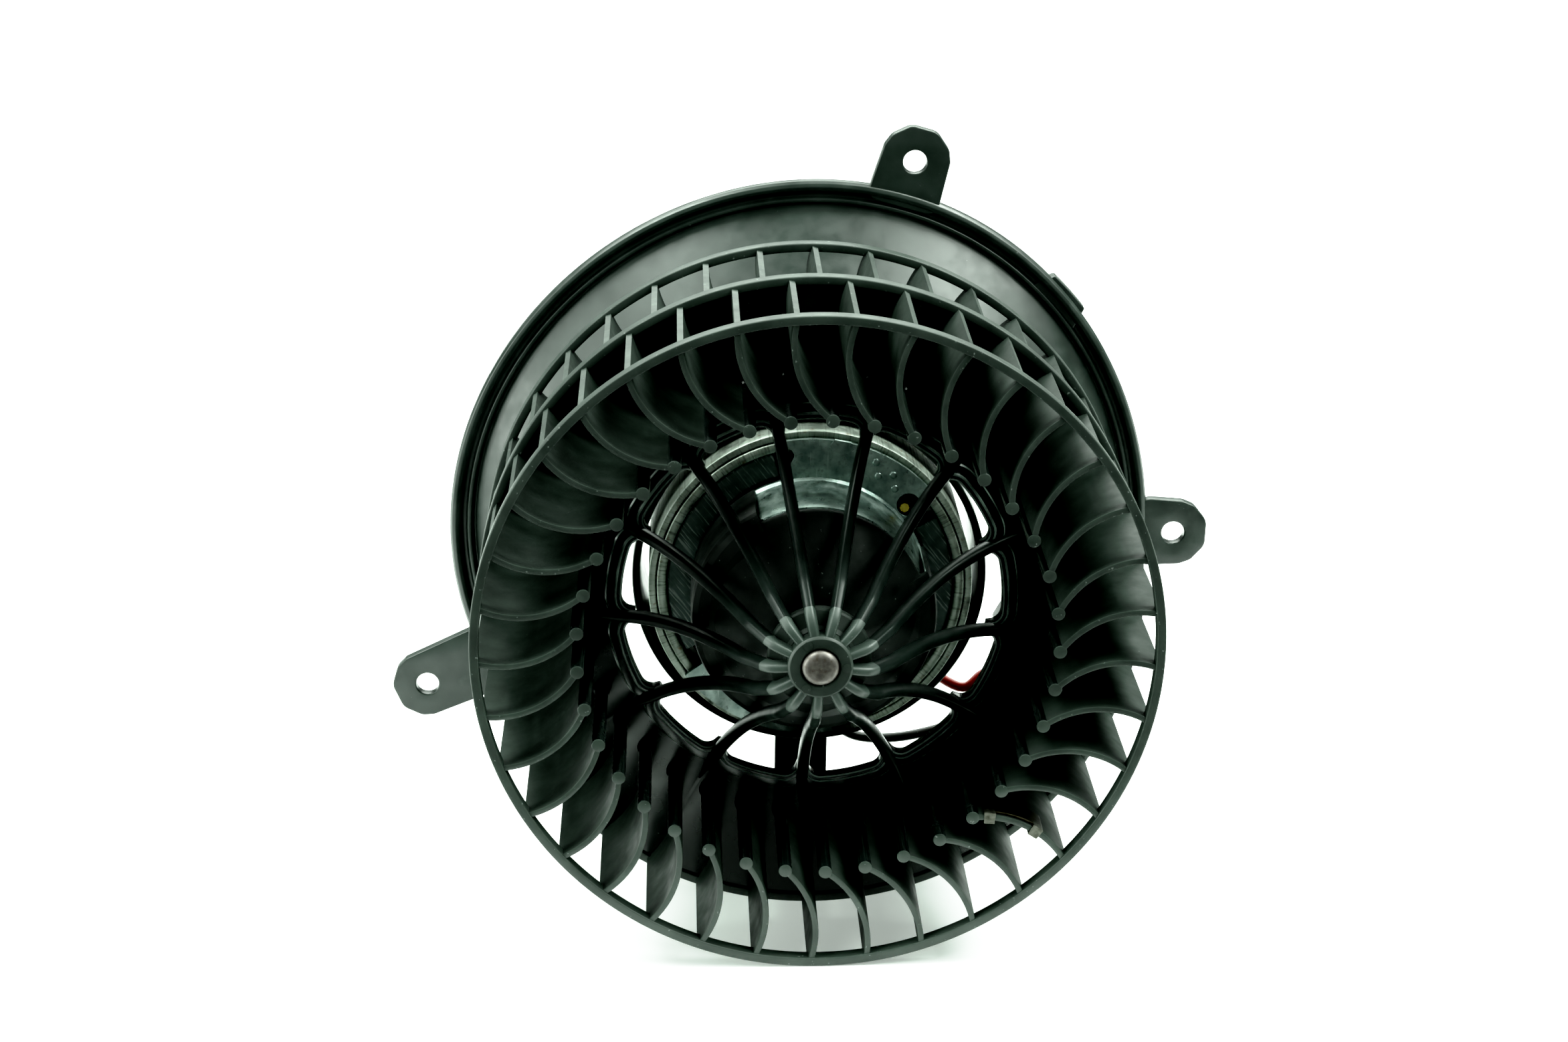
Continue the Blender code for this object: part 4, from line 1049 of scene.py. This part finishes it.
def add_ear(bm, angle, hole_radius):
    """A flat ear with its screw hole; the end is cut off at the corners and every edge is soft."""
    shape = [
        (LIP_RADIUS - 2.6 - hole_radius, EAR_HALF_WIDTH + 0.6),
        (2.0, EAR_HALF_WIDTH),
        (4.8, EAR_HALF_WIDTH - 1.1),
        (7.6, 3.6),
        (8.0, 2.4),
    ]
    shape = rounded(shape + [(x, -z) for x, z in reversed(shape)], 3.0, 8)
    steps = 180
    rings = []
    for step in range(steps):
        around = 360.0 * step / steps
        reach = reach_to_outline(shape, around)
        section = rounded(tube_profile(EAR_HOLE_RADIUS, reach, EAR_FRONT, EAR_BACK), 0.35)
        ring = []
        for distance, y in section:
            x, z = spot(distance, around)
            x, z = turned([(x + hole_radius, z)], angle)[0]
            ring.append(Vector((x, y, z)))
        rings.append(ring)
    loft(bm, rings, loop=True)


def swell_lip(bm):
    """The lip stands out a little between the legs, which hold it in."""
    for vert in bm.verts:
        radius = math.hypot(vert.co.x, vert.co.z)
        angle = math.atan2(vert.co.z, vert.co.x)
        share = (radius - CONE_INNER_RADIUS) / (LIP_RADIUS - CONE_INNER_RADIUS)
        swell = LIP_SWELL * share * math.cos(3.0 * (angle - math.radians(LIP_SWELL_ANGLE)))
        vert.co.x *= (radius + swell) / radius
        vert.co.z *= (radius + swell) / radius


def add_lug(bm):
    """A low catch on the lip's edge."""
    end = LUG_START + LUG_SPAN
    root = arc_points((0.0, 0.0), LIP_RADIUS - 4.0, end, LUG_START, 12)
    top = arc_points((0.0, 0.0), LIP_RADIUS + LUG_HEIGHT, LUG_START + 1.6, end - 1.6, 12)
    add_slab(bm, root + top, 1.4, 5.4)


def make_flange():
    """Lip, cone, ears and motor holder."""
    lip = [
        (LIP_RADIUS, 3.4),
        (LIP_RADIUS, 1.1),
        (LIP_RADIUS - 0.5, 0.3),
        (LIP_RADIUS - 1.3, 0.0),
        (LIP_RADIUS - 2.1, 0.35),
        (LIP_RADIUS - 2.9, 1.9),
        (LIP_RADIUS - 3.7, 1.9),
        (LIP_RADIUS - 4.1, 0.95),
        (LIP_RADIUS - 4.9, 0.95),
        (LIP_RADIUS - 5.6, 2.3),
        (LIP_RADIUS - 6.4, 1.5),
        (CONE_INNER_RADIUS + 1.5, CONE_FRONT + 1.2),
        (CONE_INNER_RADIUS, CONE_FRONT + 0.5),
        (CONE_INNER_RADIUS, CONE_FRONT + 3.5),
        (LIP_RADIUS - 6.0, 4.6),
        (LIP_RADIUS - 1.0, 4.2),
    ]
    bm = bmesh.new()
    add_lathe(bm, rounded(lip, 0.5, 4), steps=240)
    swell_lip(bm)
    ring = rounded(tube_profile(HOLDER_BORE, HOLDER_RADIUS, HOLDER_FRONT, HOLDER_BACK), 0.5)
    add_lathe(bm, ring, steps=144)
    for angle, hole_radius in EARS:
        add_ear(bm, angle, hole_radius)
    piece("flange_moulding", bm, (FLANGE,), "housing", ("motor_flange",), sharp=60.0)


def make_flange_legs():
    """Ribbed legs that carry the motor holder, the catch on the lip and the connector's foot."""
    half_rib = LEG_RIB_WIDTH / 2.0
    bm = bmesh.new()
    for angle in LEG_ANGLES:
        leg = rectangle(39.6, 62.5, LEG_WIDTH / 2.0)
        add_slab(bm, turned(leg, angle), LEG_FRONT, LEG_BACK - 1.1)
        for side in (-1.0, 0.0, 1.0):
            middle = side * (LEG_WIDTH / 2.0 - half_rib)
            rib = [(x, z + middle) for x, z in rectangle(41.0, 60.8, half_rib)]
            add_slab(bm, turned(rib, angle), LEG_BACK - 1.3, LEG_BACK)
    add_lug(bm)
    foot = rectangle(CONNECTOR_RADIUS + 5.6, LIP_RADIUS - 4.5, 6.0)
    add_slab(bm, turned(foot, CONNECTOR_ANGLE), 2.8, socket_low.y - 0.3)
    piece("flange_legs", bm, (FLANGE,), "housing", (), bevel=0.35, sharp=50.0)


# Connector and leads


def make_connector():
    """Two-way plug housing: a solid front and a straight mouth open at its back."""
    front = socket_low.y
    back = socket_high.y
    at = CONNECTOR_RADIUS
    outer = rounded(rectangle(at - 8.0, at + 8.0, 6.0), 1.2)
    inner = rounded(rectangle(at - 6.6, at + 6.6, 4.6), 0.6)
    bm = bmesh.new()
    add_slab(bm, turned(outer, CONNECTOR_ANGLE), front, front + 5.0)
    add_slab(bm, turned(outer, CONNECTOR_ANGLE), front + 4.9, back, [turned(inner, CONNECTOR_ANGLE)])
    piece("socket_body", bm, (SOCKET,), "housing", ("connector_housing",), bevel=0.2, sharp=50.0)


def smooth_route(points, per_span):
    """Catmull-Rom curve through the points."""
    ends = [points[0] * 2.0 - points[1]] + points + [points[-1] * 2.0 - points[-2]]
    route = []
    for a, b, c, d in zip(ends, ends[1:], ends[2:], ends[3:]):
        for step in range(per_span):
            t = step / per_span
            bend = (2.0 * a - 5.0 * b + 4.0 * c - d) * t**2
            twist = (3.0 * b - a - 3.0 * c + d) * t**3
            route.append(0.5 * (2.0 * b + (c - a) * t + bend + twist))
    route.append(points[-1])
    return route


def lead_routes():
    """Held leads, from the can's closed end round behind the flange to the connector."""
    socket = socket_low.y
    red = [
        radial(20.0, 300.0, CAN_BACK + LEAD_GAP + LEAD_RADIUS + 0.5),
        radial(32.0, 303.0, CAN_BACK + 2.5),
        radial(44.0, 307.0, CAN_BACK + 0.5),
        radial(55.0, 313.4, -5.5),
        radial(57.5, 319.6, -4.0),
        radial(62.5, 326.0, 0.5),
        radial(CONNECTOR_RADIUS - CONTACT_OFFSET, CONNECTOR_ANGLE, socket - 5.0),
        radial(CONNECTOR_RADIUS - CONTACT_OFFSET, CONNECTOR_ANGLE, socket - LEAD_GAP),
    ]
    black = [
        radial(20.0, 285.0, CAN_BACK + LEAD_GAP + LEAD_RADIUS + 0.5),
        radial(32.0, 279.0, CAN_BACK + 3.0),
        radial(46.0, 276.5, CAN_BACK + 3.0),
        radial(56.0, 281.0, 3.0),
        radial(61.5, 292.0, 3.5),
        radial(66.0, 306.0, 4.0),
        radial(70.5, 319.0, 4.0),
        radial(CONNECTOR_RADIUS + CONTACT_OFFSET, CONNECTOR_ANGLE - 1.5, socket - 4.5),
        radial(CONNECTOR_RADIUS + CONTACT_OFFSET, CONNECTOR_ANGLE, socket - LEAD_GAP),
    ]
    return red, black


def make_lead(name, points, finish, node):
    """An insulated lead as a curve."""
    route = smooth_route(points, 8)
    curve = bpy.data.curves.new(name, "CURVE")
    curve.dimensions = "3D"
    curve.bevel_depth = LEAD_RADIUS * MM
    curve.bevel_resolution = 4
    curve.use_fill_caps = True
    spline = curve.splines.new("POLY")
    spline.points.add(len(route) - 1)
    for target, point in zip(spline.points, route):
        target.co = (*(point * MM), 1.0)
    spline.use_smooth = True
    curve.materials.append(finish)
    obj = bpy.data.objects.new(name, curve)
    bpy.context.scene.collection.objects.link(obj)
    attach(obj, "housing")
    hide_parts(node)


def make_leads():
    red, black = lead_routes()
    make_lead("lead_red_wire", red, RED_WIRE, "motor_lead_red")
    make_lead("lead_black_wire", black, BLACK_WIRE, "motor_lead_black")


# Carried-over CAD nodes


CARRIED = (
    (STACK, ("armature_core",)),
    (COPPER, ("armature_winding", "commutator", "choke_a", "choke_b")),
    (BRASS, ("brass_terminal", "brush_holder_a", "brush_holder_b", "connector_pin_a", "connector_pin_b")),
    (BRONZE, ("front_bearing", "rear_bearing", "thrust_washer_front", "thrust_washer_rear")),
    (SPRING, ("magnet_clip_a", "magnet_clip_b", "brush_spring_a", "brush_spring_b")),
    (CARBON, ("carbon_brush_a", "carbon_brush_b")),
    (CARD, ("brush_card",)),
)


def finish_cad_nodes():
    for material, nodes in CARRIED:
        for node in nodes:
            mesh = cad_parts[node].data
            mesh.materials.clear()
            mesh.materials.append(material)


# Stage

TONES = ((0.012, 0.0), (0.04, 0.02), (0.10, 0.095), (0.4, 0.5), (0.7, 0.88))
LIGHT_TINT = (0.90, 1.0, 0.92)


def make_floor():
    """A wide pale floor that touches the wheel's front rim and the flange's lip, as the part lies."""
    near = Vector((0.0, WHEEL_FRONT, -WHEEL_RADIUS - 0.05))
    far = Vector((0.0, 2.0, -LIP_RADIUS - 0.05))
    slope = (far - near).normalized()
    reach = 30000.0
    apron = 50.0
    bm = bmesh.new()
    corners = []
    for x, along in ((-reach, -apron), (reach, -apron), (reach, reach), (-reach, reach)):
        corners.append(bm.verts.new((near + Vector((x, 0.0, 0.0)) + slope * along) * MM))
    bm.faces.new(corners)
    mesh = bpy.data.meshes.new("floor")
    bm.to_mesh(mesh)
    bm.free()
    floor = bpy.data.objects.new("floor", mesh)
    bpy.context.scene.collection.objects.link(floor)
    paper = bpy.data.materials.new("floor_paper")
    paper.use_nodes = True
    shader = paper.node_tree.nodes["Principled BSDF"]
    shader.inputs["Base Color"].default_value = (0.86, 0.88, 0.87, 1.0)
    shader.inputs["Roughness"].default_value = 0.9
    shader.inputs["Specular IOR Level"].default_value = 0.1
    shader.inputs["Emission Color"].default_value = (*LIGHT_TINT, 1.0)
    shader.inputs["Emission Strength"].default_value = 0.3
    mesh.materials.append(paper)


def make_light(name, place, aim, size, power):
    data = bpy.data.lights.new(name, "AREA")
    data.shape = "RECTANGLE"
    data.size = size[0]
    data.size_y = size[1]
    data.energy = power
    data.color = LIGHT_TINT
    light = bpy.data.objects.new(name, data)
    light.location = place
    light.rotation_euler = (Vector(aim) - Vector(place)).to_track_quat("-Z", "Y").to_euler()
    bpy.context.scene.collection.objects.link(light)


def make_sun(name, direction, spread, strength):
    """A distant soft light that shines along this direction."""
    data = bpy.data.lights.new(name, "SUN")
    data.energy = strength
    data.color = LIGHT_TINT
    data.angle = math.radians(spread)
    sun = bpy.data.objects.new(name, data)
    sun.rotation_euler = Vector(direction).to_track_quat("-Z", "Y").to_euler()
    bpy.context.scene.collection.objects.link(sun)


def make_lights():
    make_sun("overhead_left", (0.60, -0.05, -1.0), 30.0, 4.2)
    make_sun("overhead_right", (-0.60, -0.05, -1.0), 30.0, 4.8)
    wheel = (0.0, -0.05, 0.0)
    make_light("back_softbox", (0.0, 1.4, 1.1), (0.0, 0.0, 0.0), (1.6, 0.8), 30.0)
    make_light("left_softbox", (-0.85, -0.38, 0.52), wheel, (0.5, 0.4), 3.0)
    make_light("low_left_softbox", (-0.75, -0.25, 0.10), wheel, (0.4, 0.3), 3.5)
    make_light("right_softbox", (0.68, -0.42, 0.68), wheel, (0.6, 0.4), 8.0)
    world = bpy.data.worlds.new("studio")
    world.use_nodes = True
    background = world.node_tree.nodes["Background"]
    background.inputs["Color"].default_value = (*LIGHT_TINT, 1.0)
    background.inputs["Strength"].default_value = 0.2
    bpy.context.scene.world = world


def set_tones():
    """A firm contrast curve, so that unlit black plastic goes to black."""
    view = bpy.context.scene.view_settings
    view.view_transform = "Standard"
    view.use_curve_mapping = True
    curve = view.curve_mapping.curves[3]
    for light, shown in TONES:
        curve.points.new(light, shown)
    view.curve_mapping.update()


def make_camera():
    data = bpy.data.cameras.new("camera")
    data.lens = 68.77
    data.sensor_width = 36.0
    data.clip_end = 200.0
    camera = bpy.data.objects.new("camera", data)
    camera.location = (-0.0284, -0.6794, 0.2392)
    camera.rotation_euler = (math.radians(70.72), 0.0, math.radians(-2.005))
    bpy.context.scene.collection.objects.link(camera)
    bpy.context.scene.camera = camera


make_wheel()
make_shaft()
make_balance_clip()
make_yoke()
make_magnets()
make_front_bracket()
make_brush_cap()
make_rubber_mounts()
make_flange()
make_flange_legs()
make_connector()
make_leads()
finish_cad_nodes()
make_floor()
make_lights()
make_camera()
set_tones()
